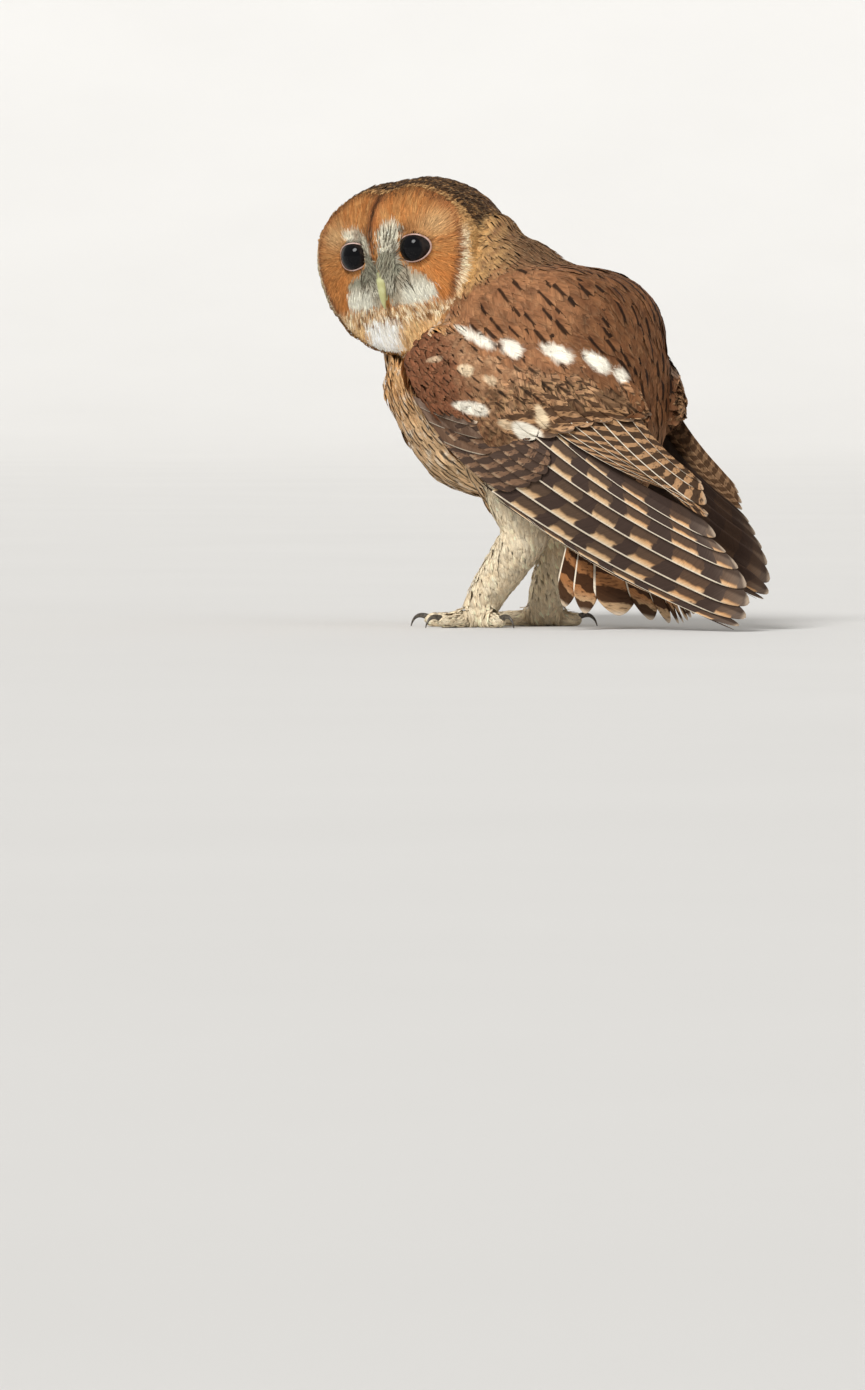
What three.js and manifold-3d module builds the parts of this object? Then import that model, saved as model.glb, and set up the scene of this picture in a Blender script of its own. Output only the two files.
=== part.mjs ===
// A tawny owl of the rufous form, life size. It stands on both feet, leans forward and looks to its left.
// Millimetres, +Z up. The owl faces -X and a little +Y, so its left side faces -Y.
import * as THREE from "three";
import { LoftGeometry } from "three/addons/geometries/LoftGeometry.js";
import { mergeVertices } from "three/addons/utils/BufferGeometryUtils.js";
import Module from "manifold-3d";

const wasm = await Module();
wasm.setup();

// ---------------------------------------------------------------- driving dimensions
const GAP = 0.3; // air between neighbouring solids
const BODY_YAW = THREE.MathUtils.degToRad(35); // forward turns this far from -X towards +Y
const HEAD_YAW = THREE.MathUtils.degToRad(30); // the face turns this far from -Y towards -X
const HEAD_PITCH = THREE.MathUtils.degToRad(3); // the face looks down
const HEAD_ROLL = THREE.MathUtils.degToRad(7); // the left side of the face is the higher one
const EYES_MIDDLE = [-94.8, 6, 224.7]; // halfway between the eyes: x, y, z

const EYE_SPACING = 41; // between the centres of the eyeballs
const EYE_RADIUS = 11.5;
const EYE_SETBACK = 7.5; // the eyeball's centre behind the plane of the eyes

const DISC_HALF_WIDTH = 55; // facial disc
const DISC_ABOVE = 40; // its top above the eyes
const DISC_BELOW = 62; // the chin below the eyes
const DISC_NOTCH = 5; // dip of the outline over the forehead
const RIM_SETBACK = 13; // the disc's rim behind the eyes
const BRIDGE_HEIGHT = 10; // ridge between the eyes
const BRIDGE_HALF_WIDTH = 9;
const EYE_HOLLOW = 2.5; // dish around each eye
const EYE_HOLLOW_RADIUS = 13;
const NOTCH_HALF_WIDTH = 11;

// Skull and nape behind the disc: depth behind the eyes, half width, height above and below the eyes.
const SKULL = [
  [13, 55, 40, 62],
  [19, 56, 41.5, 61],
  [32, 56.5, 43.5, 57],
  [48, 55.5, 43.5, 51],
  [64, 51, 40, 44],
  [78, 43, 33, 34],
  [88, 33, 25, 22],
  [95, 17, 13, 10],
  [97, 3, 2, 2],
];

// Lofted stations: forward, left, up, half width, half depth on the back, half depth on the belly.
const TRUNK = [
  [66, 0, 208, 6, 6, 6],
  [61, 0, 203, 24, 36, 38],
  [50, 0, 193, 34, 57, 69],
  [34, 0, 174, 50, 65, 82],
  [10, 0, 150, 53, 84, 86],
  [-14, 0, 128, 48, 86, 69],
  [-36, 0, 110, 37, 68, 48],
  [-54, 0, 95, 24, 42, 28],
  [-66, 0, 84, 12, 18, 14],
  [-70, 0, 80, 3, 3, 3],
];
const NECK = [
  [100, 0, 238, 6, 6, 6],
  [94, 0, 230, 31, 32, 30],
  [85, 0, 218, 38, 46, 44],
  [71, 0, 204, 37.5, 57, 58],
  [57, 0, 194, 36, 59, 62],
  [45, 0, 184, 22, 26, 20],
];
const BACK_SQUARENESS = 3.2; // 2 makes an oval section, more is squarer
const BELLY_SQUARENESS = 2.2;

// The folded wings in side view: x and z, as they are seen along +Y. Flight feathers have leading edges
// that start along one curve and end along another.
const WINGS = {
  left: {
    side: 1,
    wrist: [-84, 158],
    tip: [113.5, 2],
    out: [50, 58, 57, 44, 28, 18], // distance from the middle plane, wrist to tip
    rollOver: 0.007, // how fast the wing curves in over the back, per mm
    primaries: {
      count: 8,
      rows: 6,
      from: [[-8, 66], [-30, 82], [-12, 96], [-4, 114], [4, 128]],
      to: [[92, 11], [113.5, 1.5], [117.5, 5.5], [122, 14], [121, 27], [115, 40], [106, 49], [98, 67]],
    },
    secondaries: {
      count: 7,
      rows: 4,
      from: [[2, 122], [30, 124], [58, 126]],
      to: [[72, 84], [94, 75], [98, 67], [96, 82], [93, 90]],
    },
  },
  right: {
    side: -1,
    wrist: [-24, 160],
    tip: [132, 18],
    out: [50, 58, 57, 46, 32, 22],
    rollOver: 0.011,
    primaries: {
      count: 8,
      rows: 6,
      from: [[50, 76], [34, 90], [52, 104], [60, 118], [66, 130]],
      to: [[112, 27], [128, 18.5], [133, 19], [135.5, 27], [134, 40], [130, 50], [126, 59], [119, 71]],
    },
    secondaries: {
      count: 7,
      rows: 4,
      from: [[54, 118], [68, 129], [75, 141]],
      to: [[98, 84], [110, 74], [119, 70], [118, 79], [113.5, 88.5]],
    },
  },
};
const PRIMARY_SAG = 5;
const SECONDARY_SAG = 3;
const SECONDARY_LEVEL = 3; // the secondaries lie this far over the primaries
const WING_ROLL_UNDER = 0.0025; // how fast a wing curves in under the belly, per mm
// The covered left arm: x, z, half depth over, half depth under, half thickness.
const ARM = [
  [-83, 157, 2, 2, 2],
  [-78, 158, 14, 20, 5],
  [-66, 158, 23, 37, 7],
  [-45, 154, 30, 52, 8],
  [-18, 146, 30, 62, 8],
  [10, 140, 28, 44, 7.5],
  [38, 134, 22, 24, 6],
  [58, 128, 10, 10, 4],
  [64, 126, 2, 2, 2],
];
const FEATHER_STEP = 0.9; // each leading edge stands this far over its neighbour
const FEATHER_THICKNESS = 1.2;

// Tail: x, z of the ends of the outer edges from the left feather to the right, and the root.
const TAIL_TIPS = [
  [6, 19], [16, 12], [30, 9], [54, 8], [70, 4], [79, 3], [83, 3], [86, 4], [88, 5], [90, 7], [92, 9],
  [94, 11],
];
const TAIL_ROOT = [38, -19, 104];
const TAIL_YAW = THREE.MathUtils.degToRad(55); // the fan's width turns this far from -Y towards -X
const TAIL_ROOT_HALF_WIDTH = 13;
const TAIL_LAST_WIDTH = 4;
const TAIL_MIDDLE = [66, -39]; // x and y of the fan's middle at the floor

// Legs: for each side the heel and the foot, forward, left and up.
const LEGS = {
  left: { hip: [6, 27, 108], heel: [-7, 25, 57], foot: [29, 24, 12.5], turn: 0 },
  right: { hip: [6, -27, 100], heel: [0, -25, 52], foot: [14, -24, 12], turn: 6 },
};
const TOES = [
  { name: "inner", angle: -20, length: 31 },
  { name: "middle", angle: 10, length: 34 },
  { name: "outer", angle: 72, length: 29 },
  { name: "hind", angle: 165, length: 22 },
];
const TOE_RADIUS = 4.8;
const CLAW_RADIUS = 2.2;
const CLAW_LENGTH = 14;
const CLAW_ROOT = 3; // how far a claw is sunk in its toe
const CLAW_BEND = 1.35; // radians
const CLAW_HEIGHT = 4.6; // of its root over the floor
const CLAW_ARCH = 3;
const CLAW_TIP_HEIGHT = 0.2;

// ---------------------------------------------------------------- frames
const FORWARD = new THREE.Vector3(-Math.cos(BODY_YAW), Math.sin(BODY_YAW), 0);
const LEFT = new THREE.Vector3(-Math.sin(BODY_YAW), -Math.cos(BODY_YAW), 0);
const UP = new THREE.Vector3(0, 0, 1);

// A point by its distances forward, to the bird's left and up.
function place(forward, left, up) {
  return new THREE.Vector3()
    .addScaledVector(FORWARD, forward)
    .addScaledVector(LEFT, left)
    .addScaledVector(UP, up);
}

// A point by its place in side view and its distance from the middle plane.
function sidePoint(x, left, z) {
  return place(-(x + left * Math.sin(BODY_YAW)) / Math.cos(BODY_YAW), left, z);
}

const FACE = new THREE.Vector3(
  -Math.sin(HEAD_YAW) * Math.cos(HEAD_PITCH),
  -Math.cos(HEAD_YAW) * Math.cos(HEAD_PITCH),
  -Math.sin(HEAD_PITCH),
);
const FACE_LEFT = new THREE.Vector3().crossVectors(UP, FACE).normalize().applyAxisAngle(FACE, HEAD_ROLL);
const FACE_UP = new THREE.Vector3().crossVectors(FACE, FACE_LEFT);

// A point of the head: to the owl's left, up and out of the face, from halfway between the eyes.
function headPoint(left, up, out) {
  return new THREE.Vector3(...EYES_MIDDLE)
    .addScaledVector(FACE_LEFT, left)
    .addScaledVector(FACE_UP, up)
    .addScaledVector(FACE, out);
}

// ---------------------------------------------------------------- tools
// The rows of a table as one smooth row, t from 0 at the first to 1 at the last.
function smooth(rows, t) {
  const x = Math.min(Math.max(t, 0), 1) * (rows.length - 1);
  const i = Math.min(Math.floor(x), rows.length - 2);
  const s = x - i;
  const row = (k) => rows[Math.min(Math.max(k, 0), rows.length - 1)];
  return row(i).map((b, c) => {
    const a = row(i - 1)[c];
    const d = row(i + 1)[c];
    const e = row(i + 2)[c];
    return b + 0.5 * s * (d - a + s * (2 * a - 5 * b + 4 * d - e + s * (3 * (b - d) + e - a)));
  });
}

// The same with every triangle turned to face out.
function outward(geometry) {
  const bare = new THREE.BufferGeometry();
  bare.setAttribute("position", geometry.getAttribute("position").clone());
  bare.setIndex(geometry.getIndex());
  const merged = mergeVertices(bare, 1e-4);
  const at = merged.attributes.position;
  const index = merged.index.array;
  const corner = (k) => new THREE.Vector3().fromBufferAttribute(at, index[k]);
  let volume = 0;
  for (let k = 0; k < index.length; k += 3) volume += corner(k).dot(corner(k + 1).cross(corner(k + 2)));
  if (volume < 0) {
    for (let k = 0; k < index.length; k += 3) [index[k], index[k + 1]] = [index[k + 1], index[k]];
  }
  return merged;
}

const solid = (geometry) => {
  const closed = outward(geometry);
  return new wasm.Manifold(new wasm.Mesh({
    numProp: 3,
    vertProperties: closed.attributes.position.array,
    triVerts: new Uint32Array(closed.index.array),
  }));
};

function geometryOf(made) {
  const { vertProperties, triVerts, numProp } = made.getMesh();
  const positions = new Float32Array((vertProperties.length / numProp) * 3);
  for (let i = 0; i < positions.length; i++) {
    positions[i] = vertProperties[Math.floor(i / 3) * numProp + (i % 3)];
  }
  const geometry = new THREE.BufferGeometry();
  geometry.setAttribute("position", new THREE.BufferAttribute(positions, 3));
  geometry.setIndex(new THREE.BufferAttribute(new Uint32Array(triVerts), 1));
  return geometry;
}

// The geometry with its surface moved out by the gap, to cut a neighbour clear of it.
function swollen(geometry) {
  const grown = outward(geometry);
  grown.computeVertexNormals();
  const at = grown.attributes.position;
  const normal = grown.attributes.normal;
  for (let i = 0; i < at.count; i++) {
    at.setXYZ(
      i,
      at.getX(i) + GAP * normal.getX(i),
      at.getY(i) + GAP * normal.getY(i),
      at.getZ(i) + GAP * normal.getZ(i),
    );
  }
  return grown;
}

// The biggest piece of a geometry, cut clear of its neighbours.
function clearOf(geometry, ...neighbours) {
  let left = solid(geometry);
  for (const neighbour of neighbours) left = left.subtract(solid(swollen(neighbour)));
  const pieces = left.decompose().sort((a, b) => b.volume() - a.volume());
  return geometryOf(pieces[0]);
}

const joined = (...geometries) => geometryOf(geometries.map(solid).reduce((a, b) => a.add(b)));

// A closed loft through rings of points, which LoftGeometry wants wound about the way the loft runs.
function lofted(sections) {
  const middle = Math.floor(sections.length / 2);
  const ring = sections[middle];
  const centre = (section) => {
    const sum = section.reduce((a, p) => a.add(p), new THREE.Vector3());
    return sum.divideScalar(section.length);
  };
  const area = new THREE.Vector3();
  const from = centre(ring);
  ring.forEach((p, j) => {
    const next = ring[(j + 1) % ring.length];
    area.add(p.clone().sub(from).cross(next.clone().sub(from)));
  });
  const travel = centre(sections[sections.length - 1]).sub(centre(sections[0]));
  if (area.dot(travel) < 0) for (const section of sections) section.reverse();
  return outward(new LoftGeometry(sections, { capStart: true, capEnd: true }));
}

// A closed loft along a smooth path. Stations hold x, y, z, half width along `across`, half depth over
// and half depth under. `cup` bends the section's edges in against `across`.
function oval(stations, across, { rows = 16, sides = 20, squareness = [2, 2], cup = 0 } = {}) {
  const sections = [];
  for (let k = 0; k <= rows; k++) {
    const t = k / rows;
    const [x, y, z, width, over, under] = smooth(stations, t);
    const before = new THREE.Vector3(...smooth(stations, t - 0.01));
    const along = new THREE.Vector3(...smooth(stations, t + 0.01)).sub(before).normalize();
    const side = across.clone().addScaledVector(along, -across.dot(along)).normalize();
    const top = new THREE.Vector3().crossVectors(side, along);
    const section = [];
    for (let j = 0; j < sides; j++) {
      const angle = (2 * Math.PI * j) / sides;
      const power = 2 / squareness[Math.sin(angle) > 0 ? 0 : 1];
      const bulge = (v) => Math.sign(v) * Math.abs(v) ** power;
      const u = bulge(Math.cos(angle)) * width - cup * Math.sin(angle) ** 2 * Math.max(over, under);
      const v = bulge(Math.sin(angle)) * (Math.sin(angle) > 0 ? over : under);
      section.push(new THREE.Vector3(x, y, z).addScaledVector(side, u).addScaledVector(top, v));
    }
    sections.push(section);
  }
  return lofted(sections);
}

const bodyStations = (rows) => rows.map(([f, l, u, ...radii]) => [...place(f, l, u).toArray(), ...radii]);

// A closed plate between two grids of points, joined round their borders.
function plate(top, bottom) {
  const rows = top.length;
  const columns = top[0].length;
  const positions = [...top.flat(), ...bottom.flat()].flatMap((p) => p.toArray());
  const index = [];
  const at = (layer, i, j) => layer * rows * columns + i * columns + j;
  const quad = (a, b, c, d) => index.push(a, b, c, a, c, d);
  for (let i = 0; i < rows - 1; i++) {
    for (let j = 0; j < columns - 1; j++) {
      quad(at(0, i, j), at(0, i, j + 1), at(0, i + 1, j + 1), at(0, i + 1, j));
      quad(at(1, i, j), at(1, i + 1, j), at(1, i + 1, j + 1), at(1, i, j + 1));
    }
    quad(at(0, i, 0), at(0, i + 1, 0), at(1, i + 1, 0), at(1, i, 0));
    quad(at(0, i, columns - 1), at(1, i, columns - 1), at(1, i + 1, columns - 1), at(0, i + 1, columns - 1));
  }
  for (let j = 0; j < columns - 1; j++) {
    quad(at(0, 0, j), at(1, 0, j), at(1, 0, j + 1), at(0, 0, j + 1));
    quad(at(0, rows - 1, j), at(0, rows - 1, j + 1), at(1, rows - 1, j + 1), at(1, rows - 1, j));
  }
  const geometry = new THREE.BufferGeometry();
  geometry.setAttribute("position", new THREE.Float32BufferAttribute(positions, 3));
  geometry.setIndex(index);
  return outward(geometry);
}

// A sheet of overlapping feathers. Each edge runs from root to tip, t from 0 to 1, and takes a height
// over the sheet; each feather lies between its own edge and the next one, and steps up over it. Its
// tip is at its own edge where tipShare is 0, and halfway to the next one at 0.5.
function featherSheet(edges, rows, tipShare) {
  const top = [];
  const bottom = [];
  const tipRounding = 0.05;
  const reach = edges.slice(0, -1).map((edge, i) => {
    const tip = edge(1, 0);
    let best = 1;
    for (let s = 0.5; s < 1; s += 0.01) {
      if (edges[i + 1](s, 0).distanceTo(tip) < edges[i + 1](best, 0).distanceTo(tip)) best = s;
    }
    return best;
  });
  for (let k = 0; k <= rows; k++) {
    const t = 1 - (1 - k / rows) ** 1.5;
    const high = [];
    const low = [];
    for (let i = 0; i < edges.length - 1; i++) {
      const own = edges[i];
      const next = edges[i + 1];
      const shaft = THREE.MathUtils.lerp(0.45, tipShare, t ** 8);
      const column = (point, height) => {
        high.push(point(FEATHER_THICKNESS / 2 + height));
        low.push(point(-FEATHER_THICKNESS / 2));
      };
      column((h) => own(t * (1 - tipRounding), h), FEATHER_STEP);
      column((h) => own(t, h).lerp(next(t * reach[i], h), shaft), FEATHER_STEP * 0.6);
      column((h) => next(t * reach[i] * (1 - tipRounding), h).lerp(own(t, h), 0.06), 0);
    }
    top.push(high);
    bottom.push(low);
  }
  return plate(top, bottom);
}

// ---------------------------------------------------------------- head
// How far the face stands out of the plane of the eyes, `edge` is 0 at its middle and 1 at the rim.
function faceHeight(left, up, edge) {
  const dish = 1.5 - (RIM_SETBACK + 1.5) * edge ** 2.3;
  const forehead = THREE.MathUtils.smoothstep(up, 0, DISC_ABOVE);
  const muzzle = THREE.MathUtils.smoothstep(-up, 4, 24);
  const ridge = BRIDGE_HEIGHT * (1 - 0.35 * forehead) * (1 - 0.6 * muzzle);
  const width = BRIDGE_HALF_WIDTH * (1 + 1.2 * muzzle);
  const toEye = Math.hypot(Math.abs(left) - EYE_SPACING / 2 - 3, up) / EYE_HOLLOW_RADIUS;
  return dish + ridge * Math.exp(-((left / width) ** 2)) - EYE_HOLLOW * Math.exp(-(toEye ** 2));
}

// A ring of the disc's heart-shaped outline, scaled by `edge`, as left and up.
function discPoint(angle, edge) {
  const sine = Math.sin(angle);
  const cosine = Math.cos(angle);
  const left = DISC_HALF_WIDTH * cosine * edge;
  const notch = sine > 0 ? DISC_NOTCH * Math.exp(-((left / NOTCH_HALF_WIDTH) ** 2)) : 0;
  return [left, (sine * (sine > 0 ? DISC_ABOVE : DISC_BELOW) - notch) * edge];
}

function headGeometry() {
  const sides = 24;
  const skullRows = 7;
  const sections = [];
  for (const edge of [0.06, 0.19, 0.32, 0.46, 0.64, 0.83, 1]) {
    const section = [];
    for (let j = 0; j < sides; j++) {
      const [left, up] = discPoint((2 * Math.PI * j) / sides, edge);
      section.push(headPoint(left, up, faceHeight(left, up, edge)));
    }
    sections.push(section);
  }
  for (let k = 1; k <= skullRows; k++) {
    const [depth, width, above, below] = smooth(SKULL, k / skullRows);
    const notchFade = Math.max(0, 1 - k / 4);
    const section = [];
    for (let j = 0; j < sides; j++) {
      const angle = (2 * Math.PI * j) / sides;
      const sine = Math.sin(angle);
      const left = width * Math.cos(angle);
      const notch = sine > 0 ? notchFade * DISC_NOTCH * Math.exp(-((left / NOTCH_HALF_WIDTH) ** 2)) : 0;
      section.push(headPoint(left, sine * (sine > 0 ? above : below) - notch, -depth));
    }
    sections.push(section);
  }
  return lofted(sections);
}

function eyeGeometry(side) {
  const ball = new THREE.SphereGeometry(EYE_RADIUS, 14, 8);
  const centre = headPoint((side * EYE_SPACING) / 2, 0, -EYE_SETBACK);
  return outward(ball.translate(...centre.toArray()));
}

// Bill stations in the head's middle plane: up, out, half width, half depth front, half depth back.
function billGeometry(rows) {
  const stations = rows.map(([up, out, ...radii]) => [...headPoint(0, up, out).toArray(), ...radii]);
  return oval(stations, FACE_LEFT, { rows: 6, sides: 7 });
}
const UPPER_BILL = [
  [-3, 3, 1, 1, 1],
  [-6, 4, 3.4, 3, 2.5],
  [-13, 6, 3.1, 3.6, 3],
  [-20, 7, 2.7, 3.4, 2.4],
  [-27, 7.2, 2.0, 2.6, 1.8],
  [-31.5, 6.8, 1.1, 1.4, 1],
  [-34, 6, 0.4, 0.4, 0.4],
];
const LOWER_BILL = [
  [-14, -1, 0.8, 1, 1],
  [-17, 0.5, 2.2, 1.8, 1.8],
  [-22, 2.5, 2.0, 1.5, 1.5],
  [-27, 3.2, 1.4, 1, 1],
  [-29, 3, 0.5, 0.5, 0.5],
];

// ---------------------------------------------------------------- wings
// A folded wing's surface over side view, `height` out of it.
function wingPoint({ side, wrist, tip, out, rollOver }, x, z, height) {
  const axis = new THREE.Vector2(tip[0] - wrist[0], tip[1] - wrist[1]);
  const from = new THREE.Vector2(x - wrist[0], z - wrist[1]);
  const along = from.dot(axis) / axis.lengthSq();
  const over = from.cross(axis) / -axis.length();
  const roll = over > 0 ? rollOver : WING_ROLL_UNDER;
  const [left] = smooth(out.map((v) => [v]), along);
  return sidePoint(x, side * (left - roll * over ** 2 + height), z);
}

function flightFeathers(wing, { count, rows, from, to }, sag, level) {
  const edges = [];
  for (let i = 0; i <= count; i++) {
    const start = new THREE.Vector2(...smooth(from, i / count));
    const end = new THREE.Vector2(...smooth(to, i / count));
    const across = end.clone().sub(start).normalize().rotateAround(new THREE.Vector2(), -Math.PI / 2);
    edges.push((t, height) => {
      const at = start.clone().lerp(end, t).addScaledVector(across, sag * 4 * t * (1 - t));
      return wingPoint(wing, at.x, at.y, level + height);
    });
  }
  return featherSheet(edges, rows, 0.1);
}

function armGeometry() {
  const stations = ARM.map(([x, z, over, under, thickness]) => {
    const [px, py, pz] = wingPoint(WINGS.left, x, z, 0).toArray();
    return [px, py, pz, thickness, over, under];
  });
  return oval(stations, LEFT, { rows: 9, sides: 12, cup: 0.14 });
}

// The left wing's geometry mirrored to the right side.
function mirrored(geometry) {
  const toWorld = new THREE.Matrix4().makeBasis(FORWARD, LEFT, UP);
  const toBody = toWorld.clone().invert();
  const flip = new THREE.Matrix4().makeScale(1, -1, 1);
  const turn = toWorld.multiply(flip).multiply(toBody);
  return outward(new THREE.BufferGeometry().copy(geometry).applyMatrix4(turn));
}

// ---------------------------------------------------------------- tail
function tailGeometry() {
  const root = new THREE.Vector3(...TAIL_ROOT);
  const width = new THREE.Vector3(-Math.sin(TAIL_YAW), -Math.cos(TAIL_YAW), 0);
  const back = new THREE.Vector3(Math.cos(TAIL_YAW), -Math.sin(TAIL_YAW), 0);
  const [lastX, lastZ] = TAIL_TIPS[TAIL_TIPS.length - 1];
  const tips = [...TAIL_TIPS, [lastX + TAIL_LAST_WIDTH, lastZ + TAIL_LAST_WIDTH]];
  const edges = tips.map(([x, z], i) => {
    const share = 1 - (2 * i) / tips.length;
    const start = root.clone().addScaledVector(width, share * TAIL_ROOT_HALF_WIDTH);
    const depth = TAIL_MIDDLE[1] + (x - TAIL_MIDDLE[0]) / Math.tan(TAIL_YAW);
    const end = new THREE.Vector3(x, depth, z);
    return (t, height) => start.clone().lerp(end, t).addScaledVector(back, height);
  });
  return featherSheet(edges, 3, 0.5);
}

// ---------------------------------------------------------------- legs
function thighGeometry({ hip, heel }) {
  const [f, l, u] = hip;
  const [hf, hl, hu] = heel;
  return oval(bodyStations([
    [f, l, u + 8, 4, 4, 4],
    [f, l, u, 22, 26, 26],
    [(f + hf) / 2, (l + hl) / 2, (u + hu) / 2 + 4, 19, 24, 23],
    [hf, hl, hu + 6, 15.5, 18, 17],
    [hf, hl, hu - 4, 10, 12, 11],
    [hf, hl, hu - 7, 2, 2, 2],
  ]), LEFT, { rows: 6, sides: 10 });
}

function shankGeometry({ heel, foot }) {
  const [f, l, u] = heel;
  const [ff, fl, fu] = foot;
  return oval(bodyStations([
    [f, l, u + 6, 3, 3, 3],
    [f, l, u, 12, 13.5, 12.5],
    [f + (ff - f) * 0.4, (l + fl) / 2, u + (fu - u) * 0.4, 12, 12.5, 12],
    [f + (ff - f) * 0.8, fl, u + (fu - u) * 0.8, 10.5, 10.5, 10.5],
    [ff, fl, fu - 3, 9, 9.5, 9],
    [ff, fl, fu - 7, 4, 4, 4],
  ]), LEFT, { rows: 5, sides: 9 });
}

function toeDirection(toe, side, turn) {
  const angle = THREE.MathUtils.degToRad(side * toe.angle + turn);
  return new THREE.Vector3()
    .addScaledVector(FORWARD, Math.cos(angle))
    .addScaledVector(LEFT, Math.sin(angle));
}

function toeGeometry(foot, direction, length) {
  const across = new THREE.Vector3().crossVectors(direction, UP);
  const origin = place(foot[0], foot[1], 0);
  const stations = [
    [-6, 7.6, 2],
    [-3, 6.6, 5.5],
    [length * 0.3, 4.5, TOE_RADIUS * 1.15],
    [length * 0.6, 3.9, TOE_RADIUS],
    [length * 0.88, 3.7, TOE_RADIUS * 0.95],
    [length, 3.6, TOE_RADIUS * 0.7],
    [length + 1.5, 3.4, 1.2],
  ].map(([reach, up, radius]) => {
    const at = origin.clone().addScaledVector(direction, reach).addScaledVector(UP, up);
    return [...at.toArray(), radius, radius, radius];
  });
  return oval(stations, across, { rows: 5, sides: 6 });
}

// A hooked claw: a tapering arc that starts in the toe and ends on the floor.
function clawGeometry(foot, direction, length) {
  const across = new THREE.Vector3().crossVectors(direction, UP);
  const origin = place(foot[0], foot[1], 0);
  const stations = [0, 0.25, 0.5, 0.75, 1].map((t) => {
    const reach = length - CLAW_ROOT + CLAW_LENGTH * Math.sin(t * CLAW_BEND);
    const up = CLAW_HEIGHT + CLAW_ARCH * Math.sin(Math.PI * t) - (CLAW_HEIGHT - CLAW_TIP_HEIGHT) * t * t;
    const at = origin.clone().addScaledVector(direction, reach).addScaledVector(UP, up);
    const radius = CLAW_RADIUS * (1 - 0.82 * t);
    return [...at.toArray(), radius * 0.85, radius, radius];
  });
  return oval(stations, across, { rows: 4, sides: 5 });
}

const floor = new THREE.BoxGeometry(900, 900, 60).translate(0, 0, -30);
// The geometry with whatever is under the floor's level sliced off, which leaves small flats.
const standing = (geometry) => geometryOf(solid(geometry).subtract(solid(floor)));

function legGeometries(side) {
  const leg = LEGS[side];
  const sign = side === "left" ? 1 : -1;
  const toes = TOES.map((toe) => {
    const direction = toeDirection(toe, sign, leg.turn);
    return {
      name: toe.name,
      toe: toeGeometry(leg.foot, direction, toe.length),
      claw: standing(clawGeometry(leg.foot, direction, toe.length)),
    };
  });
  const claws = toes.map(({ claw }) => claw);
  const foot = standing(clearOf(joined(...toes.map(({ toe }) => toe)), ...claws));
  return { leg, toes, foot };
}

// ---------------------------------------------------------------- assembly
const owl = new THREE.Group();

function add(name, geometry, color, roughness) {
  const material = new THREE.MeshStandardMaterial({ color, roughness, metalness: 0 });
  const mesh = new THREE.Mesh(geometry, material);
  mesh.name = name;
  owl.add(mesh);
}

const RUFOUS = 0x9a5f33;
const BUFF = 0xc79a63;
const CREAM = 0xd9c4a0;
const DARK = 0x4b3423;
const DISC = 0xc07a42;
const HORN = 0xb7b46a;
const CLAW = 0x3c3a38;
const EYE = 0x07080c;

const eyes = { left: eyeGeometry(1), right: eyeGeometry(-1) };
const upperBill = billGeometry(UPPER_BILL);
const lowerBill = clearOf(billGeometry(LOWER_BILL), upperBill);
const wholeHead = headGeometry();
const head = clearOf(wholeHead, eyes.left, eyes.right, upperBill, lowerBill);
const wholeTrunk = oval(bodyStations(TRUNK), LEFT, {
  rows: 12,
  sides: 20,
  squareness: [BACK_SQUARENESS, BELLY_SQUARENESS],
});
const trunk = clearOf(wholeTrunk, wholeHead);
const neck = clearOf(oval(bodyStations(NECK), LEFT, { rows: 6, sides: 16 }), wholeHead, trunk);
add("head", head, DISC, 0.9);
add("eye_left", eyes.left, EYE, 0.05);
add("eye_right", eyes.right, EYE, 0.05);
add("bill_upper", upperBill, HORN, 0.4);
add("bill_lower", lowerBill, HORN, 0.4);
add("neck", neck, BUFF, 0.9);
add("trunk", trunk, RUFOUS, 0.9);

const arm = armGeometry();
const arms = [];
for (const side of ["left", "right"]) {
  const wing = WINGS[side];
  const ownArm = clearOf(side === "left" ? arm : mirrored(arm), trunk, neck, wholeHead);
  arms.push(ownArm);
  const secondaries = flightFeathers(wing, wing.secondaries, SECONDARY_SAG, SECONDARY_LEVEL);
  const primaries = flightFeathers(wing, wing.primaries, PRIMARY_SAG, 0);
  const upper = clearOf(secondaries, ownArm, trunk);
  const lower = clearOf(primaries, ownArm, upper, trunk);
  add(`wing_${side}_arm`, ownArm, RUFOUS, 0.9);
  add(`wing_${side}_secondaries`, upper, BUFF, 0.85);
  add(`wing_${side}_primaries`, lower, DARK, 0.85);
}
add("tail", clearOf(standing(tailGeometry()), trunk), RUFOUS, 0.85);

for (const side of ["left", "right"]) {
  const { leg, toes, foot } = legGeometries(side);
  const thigh = clearOf(thighGeometry(leg), trunk, ...arms);
  const shank = clearOf(shankGeometry(leg), thigh);
  add(`thigh_${side}`, thigh, CREAM, 0.9);
  add(`shank_${side}`, shank, CREAM, 0.9);
  add(`foot_${side}`, clearOf(foot, shank), CREAM, 0.9);
  for (const { name, claw } of toes) add(`claw_${side}_${name}`, claw, CLAW, 0.35);
}

// The origin is the middle of the box the owl stands in, on the floor.
const box = new THREE.Box3().setFromObject(owl);
const middle = box.getCenter(new THREE.Vector3());
owl.position.set(-middle.x, -middle.y, 0);

export default owl;
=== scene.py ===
"""A tawny owl of the rufous form: one smooth skin, mesh feathers over it, eyes, bill and claws."""
import math

import bpy
import numpy as np
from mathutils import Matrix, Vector
from mathutils.bvhtree import BVHTree


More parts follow.
